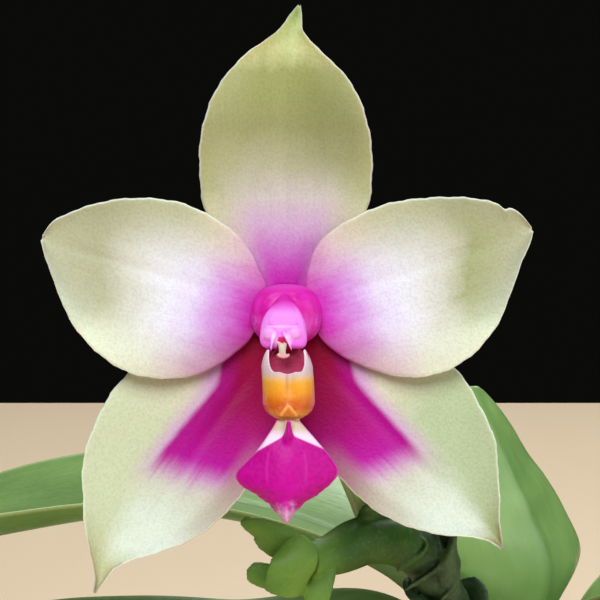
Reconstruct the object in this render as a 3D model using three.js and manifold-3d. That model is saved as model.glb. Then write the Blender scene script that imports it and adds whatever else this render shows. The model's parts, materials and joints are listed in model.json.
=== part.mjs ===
// A moth orchid of the bellina kind in a plain clay pot, in bloom.
// Millimetres, +Z up. The origin is the centre of the pot's flat foot, and the flower looks along -Y.
// One open flower stands on a short fleshy spike in front of a fan of five broad leaves. Thick roots leave
// the stem just above the bark: three dive into it, one climbs over the pot's rim and one stays in the
// air.
import * as THREE from "three";
import { mergeVertices } from "three/addons/utils/BufferGeometryUtils.js";
import Module from "manifold-3d";

const wasm = await Module();
wasm.setup();

// Driving sizes
const GAP = 0.35; // between pieces that touch on the real plant

const POT_HEIGHT = 95;
const POT_FOOT_RADIUS = 41;
const POT_TOP_RADIUS = 57;
const POT_WALL = 5;
const POT_SIDES = 40;
const RIM_BAND_HEIGHT = 20;
const RIM_BAND_PROUD = 3.5;
const DRAIN_RADIUS = 5.5;
const DRAIN_RING = 22;
const DRAIN_COUNT = 4;

const BARK_TOP = 78;
const BARK_REACH = 45;
const BARK_SIDES = 24;
const CHIP_COUNT = 38;
const CHIP_SEED = 11;

const STEM_RADIUS = 5.9;
const STEM_FOOT = 66;
const STEM_TOP = 104;
const STEM_WELL_GAP = 0.6;
const STEM_WELL_DEPTH = 40;
const SEAT = STEM_RADIUS + GAP; // how far from the axis a leaf's sheath starts
const BLUNT_SEAT = SEAT + 0.4; // and a blunt end that leans, such as a root's
const ROOT_RADIUS = 2.7;
const LEAF_THICK = 1.5;
const LEAF_EDGE = 0.9;

const FLOWER_CENTRE = new THREE.Vector3(-36, -90, 172);
const FLOWER_NOD_DEG = 8; // how far the flower looks up from the level
const BOWL = 0.0045; // the open flower is a shallow bowl: depth = BOWL * radius^2
const SEPAL_LAYER = 0.2;
const PETAL_LAYER = 1.8;
const BLADE_THICK = 0.95;
const BLADE_EDGE = 0.65;
const COLUMN_RADIUS = 3.3;

const finish = (hex, roughness) => new THREE.MeshStandardMaterial({ color: hex, roughness, metalness: 0 });
const TERRACOTTA = finish(0xb5653f, 0.85);
const BARK = finish(0x6f4a30, 0.95);
const LEAF_GREEN = finish(0x6f9a4c, 0.4);
const STEM_GREEN = finish(0x5d8040, 0.5);
const ROOT_GREY = finish(0xa9b09a, 0.7);
const SPIKE_GREEN = finish(0x4c7a2c, 0.45);
const PETAL_CREAM = finish(0xe4e8d6, 0.5);
const LIP_MAGENTA = finish(0xc8149c, 0.45);
const LOBE_YELLOW = finish(0xe8a832, 0.5);
const COLUMN_PINK = finish(0xe23fc8, 0.45);
const CAP_WHITE = finish(0xf9b8f6, 0.45);
const POLLEN_BEIGE = finish(0xd8bfa0, 0.6);

const plant = new THREE.Group();
const flower = new THREE.Group();
flower.position.copy(FLOWER_CENTRE);
flower.rotation.x = THREE.MathUtils.degToRad(90 - FLOWER_NOD_DEG);
flower.updateMatrix();
plant.add(flower);

const vec = (x, y, z) => new THREE.Vector3(x, y, z);
const rad = THREE.MathUtils.degToRad;
const lerp = THREE.MathUtils.lerp;
const smooth = THREE.MathUtils.smoothstep;

// Joining and cutting

// A closed geometry as a solid, with its shared vertices merged and its slivers left out.
function toSolid(geometry) {
  const bare = new THREE.BufferGeometry();
  bare.setAttribute("position", geometry.getAttribute("position").clone());
  if (geometry.index) bare.setIndex(geometry.index.clone());
  const merged = mergeVertices(bare, 1e-4);
  const corners = merged.index.array;
  const triVerts = [];
  for (let i = 0; i < corners.length; i += 3) {
    const [a, b, c] = corners.subarray(i, i + 3);
    if (a !== b && b !== c && c !== a) triVerts.push(a, b, c);
  }
  const vertProperties = new Float32Array(merged.attributes.position.array);
  return new wasm.Manifold(
    new wasm.Mesh({ numProp: 3, vertProperties, triVerts: new Uint32Array(triVerts) }),
  );
}

const fuse = (...geometries) => geometries.map(toSolid).reduce((a, b) => a.add(b));

// The largest body of a solid becomes a named mesh: loose scraps of a cut are dropped.
function addTo(group, name, solid, material) {
  const largest = solid.decompose().reduce((a, b) => (a.volume() > b.volume() ? a : b));
  const { vertProperties, triVerts } = largest.getMesh();
  const geometry = new THREE.BufferGeometry();
  geometry.setAttribute("position", new THREE.BufferAttribute(new Float32Array(vertProperties), 3));
  geometry.setIndex(new THREE.BufferAttribute(new Uint32Array(triVerts), 1));
  const mesh = new THREE.Mesh(geometry, material);
  mesh.name = name;
  group.add(mesh);
}

// Basic shapes

// Closes rings of equal, even point counts into one skin. The first half of a ring is one face of a thin
// piece and the second half, run backwards, is the other, and both faces split their squares alike.
function loft(rings) {
  const count = rings[0].length;
  const half = count / 2;
  const index = [];
  for (let row = 0; row + 1 < rings.length; row++) {
    for (let q = 0; q < count; q++) {
      const a = row * count + q;
      const b = row * count + ((q + 1) % count);
      const c = a + count;
      const d = b + count;
      if (q < half) index.push(a, b, d, a, d, c);
      else index.push(a, b, c, b, d, c);
    }
  }
  const last = (rings.length - 1) * count;
  for (let j = 0; j + 1 < half; j++) {
    const k = count - 1 - j;
    index.push(j, k, k - 1, j, k - 1, j + 1);
    index.push(last + j, last + k - 1, last + k, last + j, last + j + 1, last + k - 1);
  }
  const points = rings.flat();
  let volume = 0;
  for (let i = 0; i < index.length; i += 3) {
    const [a, b, c] = index.slice(i, i + 3).map((k) => points[k]);
    volume += a.dot(b.clone().cross(c));
  }
  if (volume < 0) index.reverse(); // the skin faces outwards
  const geometry = new THREE.BufferGeometry();
  const positions = points.flatMap((p) => [p.x, p.y, p.z]);
  geometry.setAttribute("position", new THREE.Float32BufferAttribute(positions, 3));
  geometry.setIndex(index);
  return geometry;
}

// A smooth curve through points given as [x, y, z].
const through = (points) => new THREE.CatmullRomCurve3(points.map((p) => vec(...p)), false, "centripetal");

// A rod along a curve. girth(t) gives its [half width, half depth] at t from 0 to 1.
function rod(curve, steps, sides, girth) {
  const { normals, binormals } = curve.computeFrenetFrames(steps, false);
  const rings = [];
  for (let i = 0; i <= steps; i++) {
    const centre = curve.getPointAt(i / steps);
    const [a, b] = girth(i / steps);
    const ring = [];
    for (let k = 0; k < sides; k++) {
      const turn = (2 * Math.PI * (k + 0.5)) / sides;
      const reach = normals[i].clone().multiplyScalar(a * Math.cos(turn));
      ring.push(centre.clone().add(reach).addScaledVector(binormals[i], b * Math.sin(turn)));
    }
    rings.push(ring);
  }
  return loft(rings);
}

// A thin, rolled ribbon along a curve. At t along it, across(t) points along its width, half(t) is its
// half width, roll(t) the angle that its edges turn up by, and wave(t, s) lifts it at s from -1 to 1.
function ribbon(curve, steps, columns, { across, half, roll, thick, edge, wave = () => 0 }) {
  const rings = [];
  for (let i = 0; i <= steps; i++) {
    const t = i / steps;
    const centre = curve.getPointAt(t);
    const width = across(t);
    const up = curve.getTangentAt(t).cross(width).normalize();
    const radius = half(t) / roll(t);
    const upper = [];
    const lower = [];
    for (let j = 0; j <= columns; j++) {
      const s = (2 * j) / columns - 1;
      const turn = roll(t) * s;
      const point = centre
        .clone()
        .addScaledVector(width, radius * Math.sin(turn))
        .addScaledVector(up, radius * (1 - Math.cos(turn)) + wave(t, s));
      const inward = up.clone().multiplyScalar(Math.cos(turn)).addScaledVector(width, -Math.sin(turn));
      upper.push(point);
      lower.push(point.clone().addScaledVector(inward, -lerp(thick, edge, s * s)));
    }
    rings.push([...upper, ...lower.reverse()]);
  }
  return loft(rings);
}

const turned = (profile, sides) =>
  new THREE.LatheGeometry(profile.map((p) => new THREE.Vector2(...p)), sides).rotateX(Math.PI / 2);

const upright = (radius, height, sides) =>
  new THREE.CylinderGeometry(radius, radius, height, sides).rotateX(Math.PI / 2);

const ellipsoid = ([a, b, c], [x, y, z], sides = 14) =>
  new THREE.SphereGeometry(1, sides, Math.round(0.6 * sides)).scale(a, b, c).translate(x, y, z);

// A seeded draw from 0 to 1 (the mulberry32 rule).
function seeded(seed) {
  let state = seed;
  return () => {
    state = (state + 0x6d2b79f5) | 0;
    let t = Math.imul(state ^ (state >>> 15), 1 | state);
    t = (t + Math.imul(t ^ (t >>> 7), 61 | t)) ^ t;
    return ((t ^ (t >>> 14)) >>> 0) / 4294967296;
  };
}

// Pot: clay, turned, with a rim band and four drain holes

function pot() {
  const bandFoot = POT_HEIGHT - RIM_BAND_HEIGHT;
  const bandRadius = POT_TOP_RADIUS + RIM_BAND_PROUD;
  const innerTop = POT_TOP_RADIUS - POT_WALL;
  const innerFoot = POT_FOOT_RADIUS - POT_WALL;
  let body = toSolid(
    turned(
      [
        [0, 0],
        [POT_FOOT_RADIUS - 1.5, 0],
        [POT_FOOT_RADIUS, 1.5],
        [POT_TOP_RADIUS - 3, bandFoot],
        [bandRadius - 1.5, bandFoot + 0.8],
        [bandRadius, POT_HEIGHT - 2.5],
        [bandRadius - 2, POT_HEIGHT],
        [innerTop + 1.5, POT_HEIGHT],
        [innerTop, POT_HEIGHT - 1.5],
        [innerFoot, POT_WALL + 4],
        [innerFoot - 4, POT_WALL],
        [0, POT_WALL],
      ],
      POT_SIDES,
    ),
  );
  for (let i = 0; i < DRAIN_COUNT; i++) {
    const turn = (2 * Math.PI * (i + 0.5)) / DRAIN_COUNT;
    const drill = upright(DRAIN_RADIUS, 3 * POT_WALL, 12);
    drill.translate(DRAIN_RING * Math.cos(turn), DRAIN_RING * Math.sin(turn), POT_WALL / 2);
    body = body.subtract(toSolid(drill));
  }
  return body;
}
addTo(plant, "pot", pot(), TERRACOTTA);

// Stem: short and upright, standing in the bark

const stemProfile = [
  [0, STEM_FOOT],
  [STEM_RADIUS - 1.5, STEM_FOOT],
  [STEM_RADIUS, STEM_FOOT + 3],
  [STEM_RADIUS, STEM_TOP - 3],
  [STEM_RADIUS - 1.6, STEM_TOP],
  [0, STEM_TOP],
];
addTo(plant, "stem", toSolid(turned(stemProfile, 16)), STEM_GREEN);

// Roots: blunt fleshy cords that start on the stem's skin. aim is the way each one leaves (0 is +X, 90 is
// +Y) and path gives [distance out, sideways, height].

const roots = {
  root_over_rim: {
    aim: -50,
    path: [
      [BLUNT_SEAT, 0, 83], [15, 0.5, 85], [28, 2, 91], [41, 3, 97], [51, 2, 99.5],
      [57, 1, 99.3], [62.9, 0.5, 95.9], [65.6, 0.5, 87], [65.6, 2, 74], [64.5, 4, 60], [62, 4.5, 47],
    ],
  },
  root_front_left: {
    aim: 218,
    path: [[BLUNT_SEAT, 0, 82.5], [16, -1, 84], [27, -4, 85], [35, -4, 80], [37.5, -3, 69]],
  },
  root_back_left: {
    aim: 168,
    path: [[BLUNT_SEAT, 0, 82.5], [17, 2, 84.5], [29, 3, 86], [37, 2, 80], [39, 1, 69]],
  },
  root_back_right: {
    aim: 118,
    path: [[BLUNT_SEAT, 0, 82], [16, -2, 84], [27, -3, 84.5], [35, -1, 79], [38, 0, 69]],
  },
  root_aerial: {
    aim: 68,
    path: [[BLUNT_SEAT, 0, 83.5], [17, 1, 86], [32, 3, 92], [46, 2, 98], [60, -3, 101.5], [72, -8, 100.5]],
  },
};
const ROOT_STEPS = 14;
const ROOT_SIDES = 8;
const ROOT_END_ROOM = 3.35; // the bark keeps this far from the middle of a root's blunt end

function rootPath({ aim, path }) {
  const turn = rad(aim);
  return path.map(([out, side, z]) => [
    out * Math.cos(turn) - side * Math.sin(turn),
    out * Math.sin(turn) + side * Math.cos(turn),
    z,
  ]);
}

function root(shape, extra) {
  const girth = (t) => {
    const r = (ROOT_RADIUS + extra) * lerp(1, 0.45, Math.max(0, (t - 0.93) / 0.07));
    return [r, r];
  };
  return toSolid(rod(through(rootPath(shape)), ROOT_STEPS, ROOT_SIDES, girth));
}
for (const [name, shape] of Object.entries(roots)) addTo(plant, name, root(shape, 0), ROOT_GREY);

// Bark: a bed that fills the pot, with chips lying across it and holes where the stem and roots stand

function bedProfile(top) {
  const inset = 0.45;
  const inner = (z) => {
    const share = (z - POT_WALL - 4) / (POT_HEIGHT - POT_WALL - 5.5);
    return lerp(POT_FOOT_RADIUS, POT_TOP_RADIUS, share) - POT_WALL - inset;
  };
  return [
    [0, POT_WALL + GAP],
    [POT_FOOT_RADIUS - POT_WALL - 4.5, POT_WALL + GAP],
    [inner(POT_WALL + 4.2), POT_WALL + 4.2],
    [inner(top), top],
    [0, top],
  ];
}

function barkBed() {
  const draw = seeded(CHIP_SEED);
  const goldenTurn = Math.PI * (3 - Math.sqrt(5));
  let bed = toSolid(turned(bedProfile(BARK_TOP), BARK_SIDES));
  for (let i = 0; i < CHIP_COUNT; i++) {
    const reach = BARK_REACH * Math.sqrt((i + 0.6) / CHIP_COUNT);
    const chip = new THREE.BoxGeometry(lerp(12, 19, draw()), lerp(8, 12, draw()), lerp(3.5, 6, draw()));
    chip.rotateX(lerp(-0.25, 0.25, draw()));
    chip.rotateY(lerp(-0.22, 0.22, draw()));
    chip.rotateZ(lerp(0, Math.PI, draw()));
    const rise = lerp(-0.6, 1.4, draw());
    chip.translate(reach * Math.cos(i * goldenTurn), reach * Math.sin(i * goldenTurn), BARK_TOP + rise);
    bed = bed.add(toSolid(chip));
  }
  bed = bed.intersect(toSolid(turned(bedProfile(BARK_TOP + 6), BARK_SIDES)));
  const well = upright(STEM_RADIUS + STEM_WELL_GAP, STEM_WELL_DEPTH, 16);
  well.translate(0, 0, STEM_FOOT - GAP + STEM_WELL_DEPTH / 2);
  bed = bed.subtract(toSolid(well));
  for (const shape of Object.values(roots)) {
    bed = bed.subtract(root(shape, GAP));
    const route = rootPath(shape);
    for (const end of [route[0], route.at(-1)]) {
      bed = bed.subtract(toSolid(ellipsoid([ROOT_END_ROOM, ROOT_END_ROOM, ROOT_END_ROOM], end, 8)));
    }
  }
  return bed;
}
addTo(plant, "bark_medium", barkBed(), BARK);

// Leaves: two ranks, each leaf with a sheath that hugs the stem and a broad arched blade. path gives
// [distance out, height] of the upper face's midrib.

const leaves = {
  leaf_upper_left: {
    aim: 180, width: 66, roll: 4.5, wave: 1.0,
    path: [
      [SEAT, 94], [7.2, 102], [12, 114], [24, 124.5], [38, 130], [53, 132], [75, 129.5], [100, 122],
      [124, 110], [146, 95],
    ],
  },
  leaf_upper_right: {
    aim: -20, width: 62, roll: -4, wave: 1.0,
    path: [
      [SEAT, 94], [7.2, 101], [12, 112], [24, 122], [40, 126.5], [60, 127], [82, 122.5], [104, 113],
      [126, 99],
    ],
  },
  leaf_lower_left: {
    aim: 172, width: 72, roll: -2, wave: 1.5,
    path: [
      [SEAT, 87.2], [8.6, 91.4], [11.2, 96], [18, 99.5], [38, 102], [64, 101], [94, 95], [124, 83],
      [150, 67], [166, 53],
    ],
  },
  leaf_lower_right: {
    aim: 11, width: 70, roll: 2, wave: 1.3,
    path: [
      [SEAT, 87.2], [8.6, 91.4], [11.2, 95.6], [19, 98.5], [40, 100], [66, 98.5], [96, 91], [124, 78],
      [148, 62], [162, 47],
    ],
  },
};
const LEAF_STEPS = 15;
const LEAF_COLUMNS = 6;
const SHEATH_TURN = 1.15; // radians that a sheath reaches round the stem to each side

function leaf({ aim, width, roll, wave, path }) {
  const turn = rad(aim);
  const side = vec(-Math.sin(turn), Math.cos(turn), 0);
  const midrib = through(path.map(([out, z]) => [out * Math.cos(turn), out * Math.sin(turn), z]));
  const hug = (t) => Math.hypot(midrib.getPointAt(t).x, midrib.getPointAt(t).y);
  return ribbon(midrib, LEAF_STEPS, LEAF_COLUMNS, {
    across: (t) => side.clone().applyAxisAngle(midrib.getTangentAt(t), rad(roll) * smooth(t, 0.15, 0.45)),
    half: (t) => {
      const oval = Math.sin(Math.PI * Math.pow(0.13 + 0.87 * t, 1.25)) ** 0.62;
      const broad = (width / 2) * (t < 1 ? oval : 0);
      return Math.max(1.2, lerp(SHEATH_TURN * hug(t), broad, smooth(t, 0.03, 0.3)));
    },
    roll: (t) => lerp(SHEATH_TURN, 0.24, smooth(t, 0, 0.28)),
    thick: LEAF_THICK,
    edge: LEAF_EDGE,
    wave: (t, s) => wave * smooth(t, 0.3, 0.6) * s * s * Math.sin(9 * t + 2 * s),
  });
}
for (const [name, shape] of Object.entries(leaves)) addTo(plant, name, toSolid(leaf(shape)), LEAF_GREEN);

// The youngest leaf stands half folded on the stem's top and shows its face to the front.
const YOUNG_HALF_WIDTH = 14;
const youngMidrib = through([
  [0.5, 0, STEM_TOP + 0.6], [1.8, 0.2, 112], [3.3, 0.5, 121], [0.4, 1.5, 129], [-3.6, 3, 138],
  [-7.5, 5.5, 148],
]);
const youngLeaf = ribbon(youngMidrib, 11, LEAF_COLUMNS, {
  across: () => vec(Math.cos(rad(38)), Math.sin(rad(38)), 0),
  half: (t) => {
    const oval = Math.sin(Math.PI * (0.12 + 0.88 * t)) ** 0.7;
    return Math.max(0.8, lerp(3.6, YOUNG_HALF_WIDTH * (t < 1 ? oval : 0), smooth(t, 0.02, 0.4)));
  },
  roll: (t) => lerp(1.1, 0.75, smooth(t, 0, 0.5)),
  thick: 1.2,
  edge: 0.8,
});
addTo(plant, "leaf_young", toSolid(youngLeaf), LEAF_GREEN);

// Flower spike: a peduncle that leaves the stem between the sheaths, and a fleshy zigzag top whose bracts
// overlap. Points of the top are given in the flower's own frame: x, y up the flower, z towards its front.

const fromFlower = (x, y, z) => vec(x, y, z).applyMatrix4(flower.matrix).toArray();

const spikeRoute = [
  [0, -BLUNT_SEAT, 88.3],
  [-1.5, -16, 90],
  [-4, -27, 94.5],
  [-8, -39, 102],
  [-11.5, -51, 112],
  [-13.5, -61, 122],
  fromFlower(20.5, -35.5, -25),
  fromFlower(15.9, -28.8, -20),
  fromFlower(10.0, -27.0, -14),
  fromFlower(5.6, -28.4, -10.5),
  fromFlower(2.6, -29.0, -8),
];
const spikeCurve = through(spikeRoute);
const SPIKE_SLIM = 2.2;
const SPIKE_FLESHY = 3.0;

// A bract that clasps the spike at t along it, on the side that turn gives.
function claspingBract(t, turn, length, flare) {
  const centre = spikeCurve.getPointAt(t);
  const along = spikeCurve.getTangentAt(t);
  const outward = vec(1, 0, 0).projectOnPlane(along).normalize().applyAxisAngle(along, rad(turn));
  const radius = SPIKE_SLIM + 0.5;
  const at = (up, out) => centre.clone().addScaledVector(along, up).addScaledVector(outward, out);
  const curve = new THREE.CatmullRomCurve3([
    at(0, radius - 0.6),
    at(0.5 * length, radius + 0.2),
    at(length, radius + flare),
  ]);
  return ribbon(curve, 4, 4, {
    across: () => along.clone().cross(outward).normalize(),
    half: (s) => radius * lerp(1.25, 0.35, s ** 2.5),
    roll: (s) => lerp(1.15, 0.5, s),
    thick: -1.1,
    edge: -0.9,
  });
}

// A fleshy tongue in the flower's frame, from its sunken base to its blunt tip.
function tongue(base, middle, tip, across, halfWidth, thick) {
  const curve = through([fromFlower(...base), fromFlower(...middle), fromFlower(...tip)]);
  const width = vec(...across).transformDirection(flower.matrix);
  return ribbon(curve, 5, 4, {
    across: () => width,
    half: (t) => halfWidth * Math.sqrt(Math.max(0.12, 1 - (2 * t - 0.8) ** 2 / 1.5)),
    roll: () => 0.25,
    thick,
    edge: 0.45 * thick,
  });
}

function flowerSpike() {
  const fleshy = (t) => smooth(t, 0.72, 0.84);
  const stalk = rod(spikeCurve, 26, 8, (t) => {
    const r = lerp(SPIKE_SLIM, SPIKE_FLESHY, fleshy(t)) * lerp(1, 0.75, smooth(t, 0.93, 1));
    return [r, r];
  });
  const oldBracts = [0.24, 0.47, 0.62, 0.66, 0.7, 0.74, 0.785].map((t, i) =>
    claspingBract(t, i % 2 ? 200 : 20, i < 2 ? 9 : 5.5, i < 2 ? 0.7 : 1.7),
  );
  const cup = ellipsoid([3.1, 3.3, 1.5], [0, 0, 0], 10).rotateY(-0.35).rotateZ(-0.5);
  cup.translate(0.9, -29.2, -6.2).applyMatrix4(flower.matrix);
  return fuse(
    stalk,
    ...oldBracts,
    cup,
    tongue([5.2, -27.2, -9.8], [0.4, -25.0, -8.2], [-4.7, -23.3, -6.6], [0, 0.5, 0.86], 2.5, 1.9),
    tongue([3.6, -28.2, -9.6], [0.2, -26.9, -8.6], [-3.0, -26.4, -7.8], [0, 0.7, 0.7], 1.9, 1.4),
    tongue([2.6, -29.2, -8.4], [-0.8, -29.6, -7.6], [-4.0, -29.6, -6.8], [0, 1, 0.15], 1.7, 1.5),
    tongue([3.2, -28.6, -8.6], [3.6, -31.6, -7.8], [3.9, -34.6, -7.2], [1, 0, 0.3], 2.0, 1.6),
    tongue([12.6, -28.6, -16.4], [11.2, -25.2, -14.6], [9.6, -22.6, -11.2], [0.8, 0.5, -0.3], 2.4, 1.2),
  );
}
addTo(plant, "flower_spike", flowerSpike(), SPIKE_GREEN);

// Pedicel: carries the flower and widens into the disc that its parts stand on

const pedicelRoute = through([
  [9.9, -23.8, -14.5], [7.6, -18, -15.2], [4.6, -11, -14], [1.5, -4, -10], [0.1, -0.3, -5.5], [0, 0, -3],
]);
const receptacle = turned([[0, -5], [1.9, -5], [2.4, -3], [4.2, -1.2], [4.2, -0.65], [0, -0.65]], 16);
const pedicelRod = rod(pedicelRoute, 14, 8, (t) => [lerp(1.3, 1.8, t), lerp(1.3, 1.8, t)]);
addTo(flower, "pedicel", fuse(pedicelRod, receptacle), SPIKE_GREEN);

// Sepals and petals: thin blades in two layers of the same bowl. Each row of an outline gives the distance
// from the base along the axis and the offsets of its two margins.

const blades = {
  sepal_dorsal: {
    base: [0, 3], axis: 90, layer: SEPAL_LAYER, cup: 1.6, cupFrom: 16,
    rows: [
      [0.7, -3.2, 3.2], [2.5, -4.5, 4.5], [6, -7.1, 7.1], [9.6, -9.5, 9.4], [13.5, -10, 9.9],
      [17.5, -9.8, 9.8], [22, -8.5, 8.5], [24.2, -7.2, 7.2], [26, -5.6, 5.7], [27.5, -3.9, 4],
      [28.7, -2.7, 2.2], [29.9, -1.95, 0.6], [31.3, -1.85, -0.4], [32.5, -1.75, -1.45],
    ],
  },
  sepal_left: {
    base: [-1.3, -2.5], axis: -125.3, layer: SEPAL_LAYER, cup: 1.4, cupFrom: 22,
    rows: [
      [1, -3, 1.2], [3, -4.9, 3.1], [6, -7.5, 5.4], [10, -10.6, 6.9], [15, -11.8, 7.3], [20, -11.2, 6.9],
      [24, -9.8, 5.6], [27.5, -7.2, 3.2], [30.2, -4.9, 1], [31.8, -3.05, 0.3], [33.7, -1.1, 0.2],
      [35.2, -0.15, 0.15],
    ],
  },
  sepal_right: {
    base: [1.7, -2.5], axis: -46.2, layer: SEPAL_LAYER, cup: 1.4, cupFrom: 22,
    rows: [
      [1, -1.3, 2.5], [3, -3.4, 4], [6, -6.1, 6], [10, -7.6, 8.9], [15, -7.8, 10.6], [20, -7.4, 9.6],
      [24, -5.9, 8], [26.2, -4.5, 6.1], [28, -3.1, 4.6], [29.6, -1.5, 3], [31, -0.55, 1.7],
      [32.2, -0.15, 0.8], [33, 0, 0.15],
    ],
  },
  petal_left: {
    base: [-2.7, 1.5], axis: 163.5, layer: PETAL_LAYER, cup: 1.0, cupFrom: 10,
    rows: [
      [0.4, -2, 3.4], [0.75, -2.9, 4.9], [1.5, -3.8, 6.3], [2.6, -5.15, 7.8], [5, -6.9, 9.9],
      [8, -8, 11.2], [12, -8.6, 11.8], [16, -8, 10.8], [20, -6.5, 8.3], [23, -4.6, 4.8],
      [24.6, -3.3, 2.6], [25.6, -2.1, 1.1], [26.15, -0.5, 0.15],
    ],
  },
  petal_right: {
    base: [2.7, 1.7], axis: 17.7, layer: PETAL_LAYER, cup: 1.0, cupFrom: 10,
    rows: [
      [0.4, -3.7, 1.7], [0.75, -5.2, 2.8], [1.6, -6.8, 4.6], [3, -8.2, 6.15], [5, -9.8, 7.15],
      [8, -11.5, 7.85], [12, -12.2, 8.15], [16, -11.3, 7.5], [20, -8.6, 6.3], [22.6, -5.4, 5.1],
      [24.6, -2.8, 3.7], [25.8, -1.4, 2.6], [26.7, 0, 0.5],
    ],
  },
};
const BLADE_STEPS = 15;
const BLADE_COLUMNS = 6;
const FOOT_REACH = COLUMN_RADIUS + 0.45;
const FOOT_BEND = 1.2; // how far out the foot's pull towards the column reaches

// A thin blade over rows of [along, low margin, high margin]. place(along, across, s) gives the middle of
// its thickness, which lies along z.
function blade(rows, steps, columns, thick, edge, place) {
  const outline = through(rows);
  const rings = [];
  for (let i = 0; i <= steps; i++) {
    const { x: along, y: low, z: high } = outline.getPoint(i / steps);
    const front = [];
    const back = [];
    for (let j = 0; j <= columns; j++) {
      const s = (2 * j) / columns - 1;
      const middle = place(along, lerp(low, high, j / columns), s);
      const half = lerp(thick, edge, s * s) / 2;
      front.push(middle.clone().add(vec(0, 0, half)));
      back.push(middle.clone().add(vec(0, 0, -half)));
    }
    rings.push([...front, ...back.reverse()]);
  }
  return toSolid(loft(rings));
}

function flowerBlade({ base, axis, layer, cup, cupFrom, rows }) {
  const [cos, sin] = [Math.cos(rad(axis)), Math.sin(rad(axis))];
  const [foot, footLow, footHigh] = rows[0];
  const spot = (along, across) => [
    base[0] + along * cos - across * sin,
    base[1] + along * sin + across * cos,
  ];
  return blade(rows, BLADE_STEPS, BLADE_COLUMNS, BLADE_THICK, BLADE_EDGE, (along, across, s) => {
    // The blade's foot is drawn to the round column that it grows from.
    const [footX, footY] = spot(foot, lerp(footLow, footHigh, (s + 1) / 2));
    const pull = (FOOT_REACH / Math.hypot(footX, footY) - 1) * (1 - smooth(along, foot, foot + FOOT_BEND));
    const [flatX, flatY] = spot(along, across);
    const x = flatX + pull * footX;
    const y = flatY + pull * footY;
    const reach = Math.hypot(x, y);
    return vec(x, y, layer + BOWL * reach * reach + cup * s * s * smooth(reach, cupFrom, cupFrom + 10));
  });
}
for (const [name, shape] of Object.entries(blades)) addTo(flower, name, flowerBlade(shape), PETAL_CREAM);

// Column: a base between the blades, a wide magenta collar in front of them and a hood over the pollen

const hoodRoute = through([[-0.1, 1.7, 4.2], [-0.1, 1.2, 6.6], [-0.15, -0.4, 8.7], [-0.2, -2.6, 9.7]]);
const hood = rod(hoodRoute, 8, 12, (t) => [lerp(1.5, 2.75, smooth(t, 0, 0.75)), lerp(1.2, 1.35, t)]);

// Pollen: two grains under the cap, joined to a strap that ends in a sticky foot
function pollen(extra) {
  const strap = (points, r) => rod(through(points), 2, 6, () => [r + extra, r + extra]);
  return fuse(
    ellipsoid([0.75 + extra, 0.8 + extra, 0.6 + extra], [-1.75, -1.75, 10.5], 8),
    ellipsoid([0.75 + extra, 0.8 + extra, 0.6 + extra], [0.85, -1.65, 10.5], 8),
    strap([[-1.6, -1.9, 10.4], [-0.9, -2.4, 10.4], [-0.3, -2.9, 10.6]], 0.32),
    strap([[0.8, -1.8, 10.4], [0.2, -2.4, 10.4], [-0.3, -2.9, 10.6]], 0.32),
    strap([[-0.3, -2.7, 10.6], [-0.3, -3.6, 10.8], [-0.3, -4.3, 10.8]], 0.36),
    strap([[-1.05, -4.3, 10.8], [-0.3, -4.45, 10.8], [0.5, -4.3, 10.8]], 0.33),
  );
}
function capShape(extra) {
  const cap = ellipsoid([1.8 + extra, 1.9 + extra, 0.95 + extra], [0, 0, 0], 12);
  return cap.rotateX(rad(-39)).translate(-0.15, 0.3, 9.3);
}

function column() {
  const base = upright(COLUMN_RADIUS, 4.3, 14).rotateZ(0.1).translate(0, 0, 1.85);
  const collar = toSolid(ellipsoid([4.15, 3.8, 2.9], [0.05, 0.05, 2.9], 16)).intersect(
    toSolid(new THREE.BoxGeometry(12, 12, 6).translate(0, 0, 5.75)),
  );
  const teeth = [-1.55, 0.35].map((x) =>
    rod(through([[x, -2.6, 10.2], [x, -3.2, 10.5], [x - 0.05, -3.9, 10.5]]), 3, 6, (t) => {
      const r = lerp(0.55, 0.2, t);
      return [r, r];
    }),
  );
  return fuse(base, hood, ...teeth).add(collar).subtract(toSolid(capShape(GAP))).subtract(pollen(0.25));
}
addTo(flower, "column", column(), COLUMN_PINK);
addTo(flower, "anther_cap", toSolid(capShape(0)).subtract(pollen(0.25)), CAP_WHITE);
addTo(flower, "pollinarium", pollen(0), POLLEN_BEIGE);

// Lip: two erect side lobes that wrap round a cavity over the callus, and a keeled kite-shaped mid-lobe

const LOBE_HALF_WIDTH = 2.92;
const LOBE_FRONT = 12.6;
const LOBE_DEPTH = 3.4;
const LOBE_FOOT = -10.9;
const LOBE_RIM = -6.0;
const LOBE_HORN = -3.6;
const LOBE_WALL = 0.7;

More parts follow.
